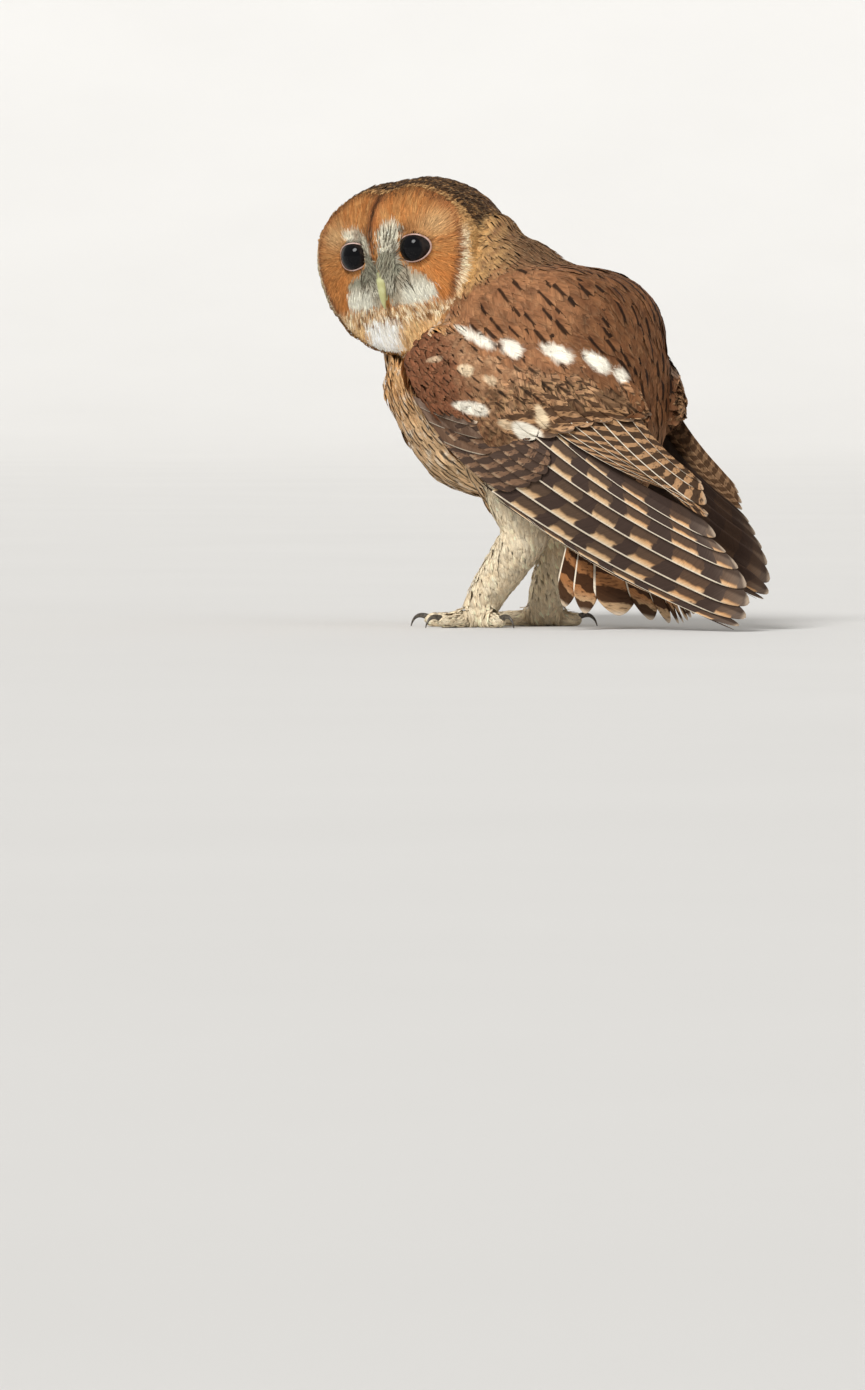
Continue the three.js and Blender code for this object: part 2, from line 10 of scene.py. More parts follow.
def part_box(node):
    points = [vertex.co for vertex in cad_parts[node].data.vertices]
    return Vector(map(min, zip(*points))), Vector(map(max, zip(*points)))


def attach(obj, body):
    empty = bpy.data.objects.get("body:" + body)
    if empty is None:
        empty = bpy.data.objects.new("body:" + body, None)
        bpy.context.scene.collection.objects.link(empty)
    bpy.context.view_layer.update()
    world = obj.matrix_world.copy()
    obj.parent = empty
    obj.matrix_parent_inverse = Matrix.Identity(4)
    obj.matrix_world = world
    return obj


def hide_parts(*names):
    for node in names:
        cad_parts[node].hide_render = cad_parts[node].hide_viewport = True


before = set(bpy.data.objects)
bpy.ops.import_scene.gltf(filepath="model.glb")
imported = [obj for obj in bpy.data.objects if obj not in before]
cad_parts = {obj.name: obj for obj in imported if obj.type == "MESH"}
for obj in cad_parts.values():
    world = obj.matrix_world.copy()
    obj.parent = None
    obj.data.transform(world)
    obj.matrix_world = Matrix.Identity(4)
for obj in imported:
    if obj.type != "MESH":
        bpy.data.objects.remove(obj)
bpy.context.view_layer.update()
RNG = np.random.default_rng(951)

# Lengths are in millimetres until a mesh is made, in the frame that the CAD was drawn in.
MM = 0.001
BODY_YAW = math.radians(35)
HEAD_YAW = math.radians(30)
HEAD_PITCH = math.radians(3)
HEAD_ROLL = math.radians(7)
EYES_MIDDLE = np.array([-94.8, 6.0, 224.7])
EYE_SPACING = 41.0
EYE_RADIUS = 11.5
EYE_SETBACK = 7.5
EYE_HOLLOW = 2.5
CORNEA_BULGE = 1.1
LID_WIDE = math.radians(63)
LID_HIGH = math.radians(41)
DISC_HALF_WIDTH = 55.0
DISC_ABOVE = 40.0
DISC_BELOW = 62.0
DISC_NOTCH = 5.0
NOTCH_HALF_WIDTH = 11.0
RIM_SETBACK = 13.0
BRIDGE_HEIGHT = 10.0
BRIDGE_HALF_WIDTH = 9.0

# Skull and nape: depth behind the eyes, half width, height above and below the eyes.
SKULL = [
    [13, 55, 40, 62], [19, 56, 41.5, 61], [32, 56.5, 43.5, 57], [48, 55.5, 43.5, 51], [64, 51, 40, 44],
    [78, 43, 33, 34], [88, 33, 25, 22], [95, 17, 13, 10], [97, 3, 2, 2],
]
# Lofts: forward, left, up, half width, half depth on the back, half depth on the belly.
TRUNK = [
    [66, 0, 208, 6, 6, 6], [61, 0, 203, 24, 36, 38], [50, 0, 193, 34, 57, 69], [34, 0, 174, 50, 65, 82],
    [10, 0, 150, 53, 84, 86], [-14, 0, 128, 48, 86, 69], [-36, 0, 110, 37, 68, 48], [-54, 0, 95, 24, 42, 28],
    [-66, 0, 84, 12, 18, 14], [-70, 0, 80, 3, 3, 3],
]
NECK = [
    [100, 0, 238, 6, 6, 6], [94, 0, 230, 31, 32, 30], [85, 0, 218, 38, 46, 44], [71, 0, 204, 37.5, 57, 58],
    [57, 0, 194, 36, 59, 62], [45, 0, 184, 22, 26, 20],
]
# Covered arm of the left wing: x, z in side view, half depth over and under, half thickness.
ARM = [
    [-83, 157, 2, 2, 2], [-78, 158, 14, 20, 5], [-66, 158, 23, 37, 7], [-45, 154, 30, 52, 8],
    [-18, 146, 30, 62, 8], [10, 140, 28, 44, 7.5], [38, 134, 22, 24, 6], [58, 128, 10, 10, 4],
    [64, 126, 2, 2, 2],
]
# Each wing: wrist and tip in side view, distance out from the middle plane, and its rows of feathers.
WINGS = {
    "left": {
        "side": 1, "wrist": (-84, 158), "tip": (113.5, 2), "out": [50, 58, 57, 44, 28, 18], "roll": 0.007,
        "primaries": {
            "from": [[-8, 66], [-30, 82], [-12, 96], [-4, 114], [4, 128]],
            "to": [[92, 11], [113.5, 1.5], [117.5, 5.5], [122, 14], [121, 27], [115, 40], [106, 49], [98, 67]],
        },
        "secondaries": {
            "from": [[2, 122], [30, 124], [58, 126]],
            "to": [[72, 84], [94, 75], [98, 67], [96, 82], [93, 90]],
        },
    },
    "right": {
        "side": -1, "wrist": (-24, 160), "tip": (132, 18), "out": [50, 58, 57, 46, 32, 22], "roll": 0.011,
        "primaries": {
            "from": [[50, 76], [34, 90], [52, 104], [60, 118], [66, 130]],
            "to": [[112, 27], [128, 18.5], [133, 19], [135.5, 27], [134, 40], [130, 50], [126, 59], [119, 71]],
        },
        "secondaries": {
            "from": [[54, 118], [68, 129], [75, 141]],
            "to": [[98, 84], [110, 74], [119, 70], [118, 79], [113.5, 88.5]],
        },
    },
}
ROLL_UNDER = 0.0025
TAIL_TIPS = [
    [6, 19], [16, 12], [30, 9], [54, 8], [70, 4], [79, 3], [83, 3], [86, 4], [88, 5], [90, 7], [92, 9], [94, 11],
    [98, 15],
]
TAIL_ROOT = np.array([38.0, -19.0, 104.0])
TAIL_YAW = math.radians(55)
TAIL_HALF_WIDTH = 13.0
TAIL_MIDDLE = (66.0, -39.0)
LEGS = {
    "left": {"side": 1, "hip": (6, 27, 108), "heel": (-7, 25, 57), "foot": (29, 24, 12.5), "turn": 0},
    "right": {"side": -1, "hip": (6, -27, 100), "heel": (0, -25, 52), "foot": (14, -24, 12), "turn": 6},
}
TOES = [("inner", -20, 31), ("middle", 10, 34), ("outer", 72, 29), ("hind", 165, 22)]
TOE_RADIUS = 4.8
CLAW_RADIUS = 2.2
CLAW_LENGTH = 14.0
CLAW_HEIGHT = 4.6
# Bill: height over the eyes, out of the face, half width, half depth in front and behind.
UPPER_BILL = [
    [-3, 3, 1, 1, 1], [-6, 4, 3.4, 3, 2.5], [-13, 6, 3.1, 3.6, 3], [-20, 7, 2.7, 3.4, 2.4],
    [-27, 7.2, 2.0, 2.6, 1.8], [-31.5, 6.8, 1.1, 1.4, 1], [-34, 6, 0.4, 0.4, 0.4],
]
LOWER_BILL = [
    [-14, -1, 0.8, 1, 1], [-17, 0.5, 2.2, 1.8, 1.8], [-22, 2.5, 2.0, 1.5, 1.5], [-27, 3.2, 1.4, 1, 1],
    [-29, 3, 0.5, 0.5, 0.5],
]


# ------------------------------------------------------------------ numbers
def unit(v):
    return v / np.maximum(np.linalg.norm(v, axis=-1, keepdims=True), 1e-9)


def step(low, high, x):
    t = np.clip((x - low) / (high - low), 0, 1)
    return t * t * (3 - 2 * t)


def bell(*distances):
    """1 where all the distances are 0, and near 0 from 2 on."""
    return np.exp(-sum(d ** 2 for d in distances))


def mix(a, b, share):
    return a + (b - a) * share


def smooth(rows, t):
    """The rows of a table as one smooth row, t from 0 at the first to 1 at the last."""
    rows = np.asarray(rows, float)
    x = np.clip(np.asarray(t, float), 0, 1) * (len(rows) - 1)
    i = np.minimum(x.astype(int), len(rows) - 2)
    s = (x - i)[..., None]
    a, b, d, e = rows[np.maximum(i - 1, 0)], rows[i], rows[i + 1], rows[np.minimum(i + 2, len(rows) - 1)]
    return b + 0.5 * s * (d - a + s * (2 * a - 5 * b + 4 * d - e + s * (3 * (b - d) + e - a)))


def noise(p, scale, seed=0):
    """Smooth noise from about -1 to 1 at points p, with features about `scale` across."""
    rng = np.random.default_rng(seed)
    total = np.zeros(len(p))
    for _ in range(5):
        wave = unit(rng.normal(size=3)) * 2 * np.pi / scale * rng.uniform(0.7, 1.4)
        total += np.sin(p @ wave + rng.uniform(0, 6.3) + 1.5 * np.sin(p @ wave[[1, 2, 0]]))
    return total / 3


def inside(polygon, x, z):
    """Whether points lie inside a closed outline."""
    within = np.zeros(len(x), bool)
    for (ax, az), (bx, bz) in zip(polygon, np.roll(polygon, -1, 0)):
        crosses = (az > z) != (bz > z)
        with np.errstate(divide="ignore", invalid="ignore"):
            within ^= crosses & (x < (bx - ax) * (z - az) / (bz - az) + ax)
    return within


# ------------------------------------------------------------------ frames
FORWARD = np.array([-math.cos(BODY_YAW), math.sin(BODY_YAW), 0.0])
LEFT = np.array([-math.sin(BODY_YAW), -math.cos(BODY_YAW), 0.0])
UP = np.array([0.0, 0.0, 1.0])
FACE = np.array([
    -math.sin(HEAD_YAW) * math.cos(HEAD_PITCH), -math.cos(HEAD_YAW) * math.cos(HEAD_PITCH), -math.sin(HEAD_PITCH),
])
LEVEL_LEFT = unit(np.cross(UP, FACE))
FACE_LEFT = LEVEL_LEFT * math.cos(HEAD_ROLL) + np.cross(FACE, LEVEL_LEFT) * math.sin(HEAD_ROLL)
FACE_UP = np.cross(FACE, FACE_LEFT)
TAILWARD = unit(-0.723 * FORWARD - 0.691 * UP)  # from the neck to the tail along the body
BACKWARD = unit(-0.691 * FORWARD + 0.723 * UP)  # out of the back


def place(forward, left, up):
    return np.multiply.outer(forward, FORWARD) + np.multiply.outer(left, LEFT) + np.multiply.outer(up, UP)


def side_point(x, left, z):
    """A point by its place in side view and its distance from the middle plane."""
    return place(-(x + left * math.sin(BODY_YAW)) / math.cos(BODY_YAW), left, z)


def side_place(p):
    """x and z in side view, with the right side folded over onto the left."""
    forward, left = p @ FORWARD, np.abs(p @ LEFT)
    return -forward * math.cos(BODY_YAW) - left * math.sin(BODY_YAW), p[..., 2]


def head_point(left, up, out):
    flat = EYES_MIDDLE + np.multiply.outer(left, FACE_LEFT) + np.multiply.outer(up, FACE_UP)
    return flat + np.multiply.outer(out, FACE)


def head_place(p):
    q = p - EYES_MIDDLE
    return q @ FACE_LEFT, q @ FACE_UP, q @ FACE


def mirror(p):
    return p - 2 * (p @ LEFT)[..., None] * LEFT


low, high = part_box("eye_left")
OFFSET = np.array((low + high) / 2) / MM - head_point(EYE_SPACING / 2, 0, -EYE_SETBACK)


# ------------------------------------------------------------------ meshes
def linked(name, data):
    """A new object in the scene."""
    made = bpy.data.objects.new(name, data)
    bpy.context.scene.collection.objects.link(made)
    return made


def piece(name, slot, points, faces, data=None, uv=None, replaces=()):
    """A piece of the owl from points in millimetres, faces of 3 or 4 corners, and data for each point."""
    mesh = bpy.data.meshes.new(name)
    faces = np.asarray(faces, np.int32)
    count, corners = faces.shape
    mesh.vertices.add(len(points))
    mesh.vertices.foreach_set("co", ((points + OFFSET) * MM).astype(np.float32).ravel())
    mesh.loops.add(count * corners)
    mesh.loops.foreach_set("vertex_index", faces.ravel())
    mesh.polygons.add(count)
    mesh.polygons.foreach_set("loop_start", np.arange(count, dtype=np.int32) * corners)
    mesh.polygons.foreach_set("loop_total", np.full(count, corners, np.int32))
    mesh.update(calc_edges=True)
    mesh.shade_smooth()
    for key, values in (data or {}).items():
        attribute = mesh.attributes.new(key, "FLOAT_VECTOR", "POINT")
        attribute.data.foreach_set("vector", np.asarray(values, np.float32).ravel())
    if uv is not None:
        layer = mesh.uv_layers.new(name="OFBake")
        layer.data.foreach_set("uv", np.asarray(uv, np.float32)[faces.ravel()].ravel())
    made = linked(name, mesh)
    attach(made, "root")
    if replaces:
        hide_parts(*replaces)
    return made


def joined(shapes):
    """(points, faces) pairs as one pair."""
    starts = np.cumsum([0] + [len(p) for p, _ in shapes])
    return np.vstack([p for p, _ in shapes]), np.vstack([f + at for (_, f), at in zip(shapes, starts)])


def grid_faces(rows, columns, closed):
    """Quads of a grid of points, row by row; closed joins the last column to the first."""
    i, j = np.meshgrid(np.arange(rows - 1), np.arange(columns if closed else columns - 1), indexing="ij")
    i, j = i.ravel(), j.ravel()
    k = (j + 1) % columns
    return np.stack([i * columns + j, i * columns + k, (i + 1) * columns + k, (i + 1) * columns + j], 1)


def closed_loft(rings):
    """Points and quads of a loft of rings, its ends closed by small middle points."""
    rows, sides, _ = rings.shape
    points = np.vstack([rings.reshape(-1, 3), rings[0].mean(0), rings[-1].mean(0)])
    j = np.arange(0, sides, 2)
    first, last, base = rows * sides, rows * sides + 1, (rows - 1) * sides
    start = np.stack([np.full_like(j, first), (j + 2) % sides, (j + 1) % sides, j], 1)
    end = np.stack([np.full_like(j, last), base + j, base + (j + 1) % sides, base + (j + 2) % sides], 1)
    return points, np.vstack([grid_faces(rows, sides, True), start, end])


def oval(stations, across, rows=40, sides=40, squareness=(2.0, 2.0), cup=0.0):
    """A loft along a smooth path: x, y, z, half width along `across`, half depth over and under."""
    t = np.linspace(0, 1, rows + 1)
    table = smooth(stations, t)
    along = unit(smooth(stations, t + 0.01)[:, :3] - smooth(stations, t - 0.01)[:, :3])
    side = unit(across - along * (along @ across)[:, None])
    top = np.cross(side, along)
    angle = np.linspace(0, 2 * np.pi, sides, endpoint=False)
    over = np.sin(angle) > 0
    power = np.where(over, 2 / squareness[0], 2 / squareness[1])
    wide, deep = (np.sign(v) * np.abs(v) ** power for v in (np.cos(angle), np.sin(angle)))
    u = wide * table[:, 3:4] - cup * np.sin(angle) ** 2 * table[:, 4:6].max(1)[:, None]
    v = deep * np.where(over, table[:, 4:5], table[:, 5:6])
    return table[:, None, :3] + u[..., None] * side[:, None] + v[..., None] * top[:, None]


def body_oval(stations, **options):
    """A loft whose stations are given as forward, left, up and the half sizes."""
    table = np.asarray(stations, float)
    return oval(np.hstack([place(table[:, 0], table[:, 1], table[:, 2]), table[:, 3:]]), LEFT, **options)


# ------------------------------------------------------------------ solids under the skin
def notch(left, above, depth=DISC_NOTCH):
    """How far the disc's upper outline dips in the middle."""
    return np.where(above > 0, depth * bell(left / NOTCH_HALF_WIDTH), 0)


def face_height(left, up, edge):
    dish = 1.5 - (RIM_SETBACK + 1.5) * edge ** 2.3
    forehead = step(0, DISC_ABOVE, up)
    muzzle = step(4, 24, -up)
    ridge = BRIDGE_HEIGHT * (1 - 0.35 * forehead) * (1 - 0.6 * muzzle)
    width = BRIDGE_HALF_WIDTH * (1 + 1.2 * muzzle)
    to_eye = np.hypot(np.abs(left) - EYE_SPACING / 2 - 3, up) / 13
    return dish + ridge * bell(left / width) - EYE_HOLLOW * bell(to_eye)


def head_rings():
    sides = 80
    angle = np.linspace(0, 2 * np.pi, sides, endpoint=False)
    sine, cosine = np.sin(angle), np.cos(angle)
    rings = []
    for edge in np.linspace(0.02, 1, 30):
        left = DISC_HALF_WIDTH * cosine * edge
        up = (sine * np.where(sine > 0, DISC_ABOVE, DISC_BELOW) - notch(left, sine)) * edge
        rings.append(head_point(left, up, face_height(left, up, edge)))
    for t in np.linspace(0, 1, 40)[1:]:
        depth, width, above, below = smooth(SKULL, t)
        left = width * cosine
        up = sine * np.where(sine > 0, above, below) - notch(left, sine, max(0, 1 - t * 2) * DISC_NOTCH)
        rings.append(head_point(left, up, np.full(sides, -depth)))
    return np.array(rings)


def wing_point(wing, x, z, height):
    (wx, wz), (tx, tz) = wing["wrist"], wing["tip"]
    ax, az = tx - wx, tz - wz
    length = math.hypot(ax, az)
    fx, fz = x - wx, z - wz
    along = (fx * ax + fz * az) / length ** 2
    over = -(fx * az - fz * ax) / length
    roll = np.where(over > 0, wing["roll"], ROLL_UNDER)
    left = smooth(np.array(wing["out"], float)[:, None], along)[..., 0]
    return side_point(x, wing["side"] * (left - roll * over ** 2 + height), z)


def arm_rings():
    rows = np.array(ARM, float)
    middle = wing_point(WINGS["left"], rows[:, 0], rows[:, 1], 0)
    return oval(np.hstack([middle, rows[:, [4, 2, 3]]]), LEFT, rows=36, sides=36, cup=0.14)


def thigh_rings(leg):
    (f, l, u), (hf, hl, hu) = leg["hip"], leg["heel"]
    return body_oval([
        [f, l, u + 8, 4, 4, 4], [f, l, u, 22, 26, 26], [(f + hf) / 2, (l + hl) / 2, (u + hu) / 2 + 4, 19, 24, 23],
        [hf, hl, hu + 6, 15.5, 18, 17], [hf, hl, hu - 4, 10, 12, 11], [hf, hl, hu - 7, 2, 2, 2],
    ], rows=24, sides=24)


def shank_rings(leg):
    (f, l, u), (ff, fl, fu) = leg["heel"], leg["foot"]
    return body_oval([
        [f, l, u + 6, 3, 3, 3], [f, l, u, 12, 13.5, 12.5],
        [f + (ff - f) * 0.4, (l + fl) / 2, u + (fu - u) * 0.4, 12, 12.5, 12],
        [f + (ff - f) * 0.8, fl, u + (fu - u) * 0.8, 10.5, 10.5, 10.5],
        [ff, fl, fu - 3, 9, 9.5, 9], [ff, fl, fu - 7, 4, 4, 4],
    ], rows=20, sides=20)


def foot_middle(leg):
    return place(leg["foot"][0], leg["foot"][1], 0)


def toe_direction(leg, angle):
    turned = math.radians(leg["side"] * angle + leg["turn"])
    return FORWARD * math.cos(turned) + LEFT * math.sin(turned)


def toe_rings(leg, direction, length):
    rows = [
        [-6, 7.6, 2], [-3, 6.6, 5.5], [length * 0.3, 4.9, TOE_RADIUS * 1.15], [length * 0.6, 4.3, TOE_RADIUS],
        [length * 0.88, 4.1, TOE_RADIUS * 0.95], [length, 3.8, TOE_RADIUS * 0.7], [length + 1.5, 3.5, 1.2],
    ]
    stations = [[*(foot_middle(leg) + direction * reach + UP * up), r, r, r] for reach, up, r in rows]
    return oval(stations, np.cross(direction, UP), rows=16, sides=16)


def skin_parts():
    """Name and rings of each solid that the skin runs over."""
    arm = arm_rings()
    parts = [
        ("head", head_rings()), ("neck", body_oval(NECK)),
        ("trunk", body_oval(TRUNK, rows=60, sides=60, squareness=(3.2, 2.2))),
        ("arm", arm), ("arm", mirror(arm)[:, ::-1]),
    ]
    for leg in LEGS.values():
        parts += [("thigh", thigh_rings(leg)), ("shank", shank_rings(leg))]
        parts += [("foot", toe_rings(leg, toe_direction(leg, angle), length)) for _, angle, length in TOES]
    return parts


LABELS = ["head", "neck", "trunk", "arm", "thigh", "shank", "foot"]
COAT_DEPTH = np.array([2.4, 3.5, 4.0, 3.0, 2.6, 1.6, 1.0])
FACE_DEPTH = 1.2
VOXEL = 2.0


def point_normals(points, faces):
    """Normals of points of a mesh of quads."""
    corner = points[faces]
    across = np.cross(corner[:, 2] - corner[:, 0], corner[:, -1] - corner[:, 1])
    normals = np.zeros_like(points)
    for k in range(faces.shape[1]):
        np.add.at(normals, faces[:, k], across)
    return unit(normals)


def outwards(points, normals):
    """1 if the normals of a closed mesh point out of it, or -1."""
    return np.sign(((points - points.mean(0)) * normals).sum())


def union(points, faces):
    """One closed surface round all the parts."""
    mesh = bpy.data.meshes.new("parts")
    mesh.from_pydata(points.tolist(), [], faces.tolist())
    made = linked("parts", mesh)
    remesh = made.modifiers.new("remesh", "REMESH")
    remesh.mode = "VOXEL"
    remesh.voxel_size = VOXEL
    evaluated = made.evaluated_get(bpy.context.evaluated_depsgraph_get()).to_mesh()
    out = np.zeros(len(evaluated.vertices) * 3)
    evaluated.vertices.foreach_get("co", out)
    corners = np.zeros(len(evaluated.loops), np.int32)
    evaluated.loops.foreach_get("vertex_index", corners)
    bpy.data.objects.remove(made)
    bpy.data.meshes.remove(mesh)
    return out.reshape(-1, 3), corners.reshape(-1, 4)


def relaxed(values, faces, weight):
    """Each value moved towards the mean of its neighbours' by weight."""
    total, count = np.zeros_like(values), np.zeros(len(values))
    for k in range(4):
        a, b = faces[:, k], faces[:, (k + 1) % 4]
        for here, there in ((a, b), (b, a)):
            np.add.at(total, here, values[there])
            np.add.at(count, here, 1)
    return values + weight * (total / count[:, None] - values)


class Skin:
    """The skin's points and quads, what part each point belongs to, and where it lies."""

    def __init__(self):
        parts = [(LABELS.index(name), *closed_loft(rings)) for name, rings in skin_parts()]
        points, faces = joined([(p, f) for _, p, f in parts])
        labels = np.concatenate([np.full(len(f), label) for label, _, f in parts])
        source = BVHTree.FromPolygons(points.tolist(), faces.tolist())
        points, faces = union(points, faces)
        for weight in (0.5, -0.52) * 5:
            points = relaxed(points, faces, weight)
        self.label = labels[[source.find_nearest(Vector(p))[2] for p in points]]
        points = self.filled(points, faces)
        in_disc = (self.label == 0) & (head_place(points)[2] > -RIM_SETBACK - 2)
        depth = np.where(in_disc, FACE_DEPTH, COAT_DEPTH[self.label])[:, None]
        for _ in range(6):
            depth = relaxed(depth, faces, 0.8)
        normals = point_normals(points, faces)
        out = outwards(points, normals)
        self.points = points - normals * out * depth
        self.faces = faces if out > 0 else faces[:, ::-1]
        self.tree = BVHTree.FromPolygons(self.points.tolist(), self.faces.tolist())
        self.face_normals = unit(point_normals(self.points, self.faces)[self.faces].mean(1))
        self.face_labels = self.label[self.faces[:, 0]]

    def filled(self, points, faces):
        """The creases between head, neck and trunk made shallow."""
        _, _, out = head_place(points)
        soft = np.where(self.label == 0, step(-24, -36, out), np.where(self.label <= 2, 1.0, 0.0))
        soft = soft * step(95, 120, points[:, 2])
        normals = point_normals(points, faces)
        normals = normals * outwards(points, normals)
        for _ in range(40):
            moved = relaxed(points, faces, 0.9) - points
            points = points + (np.maximum((moved * normals).sum(1), 0) * soft)[:, None] * normals
        return points

    def nearest(self, p):
        """The skin's points next to p, their normals and the faces they are on."""
        found = [self.tree.find_nearest(Vector(q)) for q in p]
        face = np.array([index for _, _, index, _ in found])
        return np.array([at for at, _, _, _ in found]), self.face_normals[face], face

    def scatter(self, wanted, spacing):
        """Points evenly spread over the faces that are wanted, and the faces they are on."""
        corner = self.points[self.faces[wanted]]
        diagonal = np.cross(corner[:, 2] - corner[:, 0], corner[:, 3] - corner[:, 1])
        area = np.linalg.norm(diagonal, axis=1) / 2
        count = int(area.sum() / spacing ** 2 * 3.2)
        chosen = RNG.choice(len(area), count, p=area / area.sum())
        a, b = RNG.random((2, count, 1))
        c = corner[chosen]
        p = mix(mix(c[:, 0], c[:, 1], a), mix(c[:, 3], c[:, 2], a), b)
        kept, grid, reach = [], {}, (-1, 0, 1)
        for i, (x, y, z) in enumerate(np.floor(p / spacing).astype(int).tolist()):
            near = [k for dx in reach for dy in reach for dz in reach for k in grid.get((x + dx, y + dy, z + dz), ())]
            if near and ((p[near] - p[i]) ** 2).sum(1).min() < (0.8 * spacing) ** 2:
                continue
            kept.append(i)
            grid.setdefault((x, y, z), []).append(i)
        return p[kept], np.flatnonzero(wanted)[chosen[kept]]


skin = Skin()


# ------------------------------------------------------------------ markings
def rgb(*colour):
    return np.array(colour, float)


def blend(a, b, share):
    """Two colours, or colours at points, mixed by the share at each point."""
    return mix(np.asarray(a), np.asarray(b), np.asarray(share)[..., None])


def layered(tone, *layers):
    """A tone with (colour, share) layers laid over it, one after the other."""
    for colour, share in layers:
        tone = blend(tone, colour, share)
    return tone


def clipped(share):
    return np.clip(share, 0, 1)


RUFOUS = rgb(0.46, 0.165, 0.043)
RUFOUS_DEEP = rgb(0.33, 0.11, 0.036)
GOLDEN = rgb(0.58, 0.29, 0.10)
GREY_WHITE = rgb(0.88, 0.82, 0.64)
CHEEK = rgb(0.74, 0.71, 0.58)
LORE = rgb(0.31, 0.30, 0.22)
CREAM = rgb(0.86, 0.69, 0.46)
WHITE = rgb(0.86, 0.80, 0.67)
CROWN = rgb(0.052, 0.025, 0.011)
NAPE = rgb(0.30, 0.155, 0.068)
MANTLE = rgb(0.265, 0.113, 0.050)
COVERT = rgb(0.33, 0.155, 0.072)
LESSER = rgb(0.20, 0.076, 0.035)
BREAST = rgb(0.58, 0.285, 0.10)
BELLY = rgb(0.68, 0.50, 0.31)
LEG = rgb(0.84, 0.68, 0.46)
DARK = rgb(0.045, 0.02, 0.009)

# Outlines on the face, distance from the middle and height above the eyes.
BROW = [(2.0, -10), (2.0, 7), (2.7, 14.5), (6, 18.5), (9.5, 19.5), (13, 16), (15.5, 12), (12, 8), (11.5, 2), (11, -10)]
RIGHT_BROW = [
    (2.0, -10), (3.2, 4), (7, 9.5), (13, 14), (19, 16.5), (24, 16.5), (30, 13.5), (27, 10), (18, 7), (12, 1), (11, -10),
]
LORES = [(0, -4), (11, -4), (15, -9), (9, -17), (5, -25), (0, -25)]
RIGHT_LORES = [(0, -4), (11, -4), (13, -9), (21, -13), (32, -19), (23, -20), (12, -17), (5, -25), (0, -25)]
CHEEKS = [
    (11, -10), (16, -11), (20, -15), (26, -18.5), (31, -23.5), (30.5, -31), (26, -33), (16, -34), (2, -32), (2, -22),
    (7, -14),
]

# White and dark patches on the back and wings: x, z, half length, half width, degrees, colour, strength.
PATCHES = [
    (-40.0, 174.0, 13.5, 3.2, -29, WHITE, 1.0), (-18.6, 167.4, 7.5, 4.6, -35, WHITE, 1.0),
    (8.4, 164.6, 10.5, 4.4, -25, WHITE, 1.0), (32.0, 159.2, 9.5, 4.2, -35, WHITE, 1.0),
    (46.5, 151.5, 5.0, 3.6, -35, WHITE, 0.9), (-42.6, 131.6, 11.0, 3.8, -12, WHITE, 0.95),
    (-9.0, 116.8, 10.5, 5.6, -32, WHITE, 1.0), (-0.6, 126.5, 7.5, 3.6, -70, CREAM, 0.85),
    (-45.6, 154.2, 4.8, 3.4, -20, CREAM, 0.85), (-64.0, 160.5, 5.0, 1.8, 10, CREAM, 0.45),
    (-31.0, 148.0, 4.2, 2.4, -30, CREAM, 0.6), (-22.0, 122.0, 4.6, 2.6, -30, CREAM, 0.6),
    (40.0, 137.8, 9.5, 5.0, -12, DARK, 0.6), (-30.0, 140.0, 4.6, 3.0, -40, DARK, 0.5),
    (20.0, 132.0, 4.4, 3.0, -40, DARK, 0.6), (-52.0, 139.5, 4.0, 2.2, -20, DARK, 0.4),
    (-27.0, 114.0, 11.0, 5.0, -42, DARK, 0.4),
]


def disc_share(left, up):
    """0 at the middle of the face and 1 at its rim."""
    return np.hypot(left / DISC_HALF_WIDTH, (up + notch(left, up)) / np.where(up > 0, DISC_ABOVE, DISC_BELOW))


def steepness(left, up):
    """Degrees over the level through the eyes, the same on both sides."""
    return np.degrees(np.arctan2(up, np.abs(left)))


def rim_share(left, up):
    """Like disc_share, but 1 where the pale rim runs: further in on the left cheek."""
    near = np.interp(steepness(left, up), [-75, -55, -29, 0, 21, 50, 70], [0.0, 0.07, 0.095, 0.06, 0.0, 0.03, 0.07])
    return disc_share(left, up) + near * step(-10, 12, left)


def rays(left, up, side, height, scale, seed):
    """Noise in rays round a point of each side of the face."""
    turn = np.arctan2(up - height, np.abs(left) - side)
    away = np.hypot(up - height, np.abs(left) - side)
    return noise(np.stack([22 * np.cos(turn), 22 * np.sin(turn), away * 0.25 + np.sign(left) * 40], 1), scale, seed)


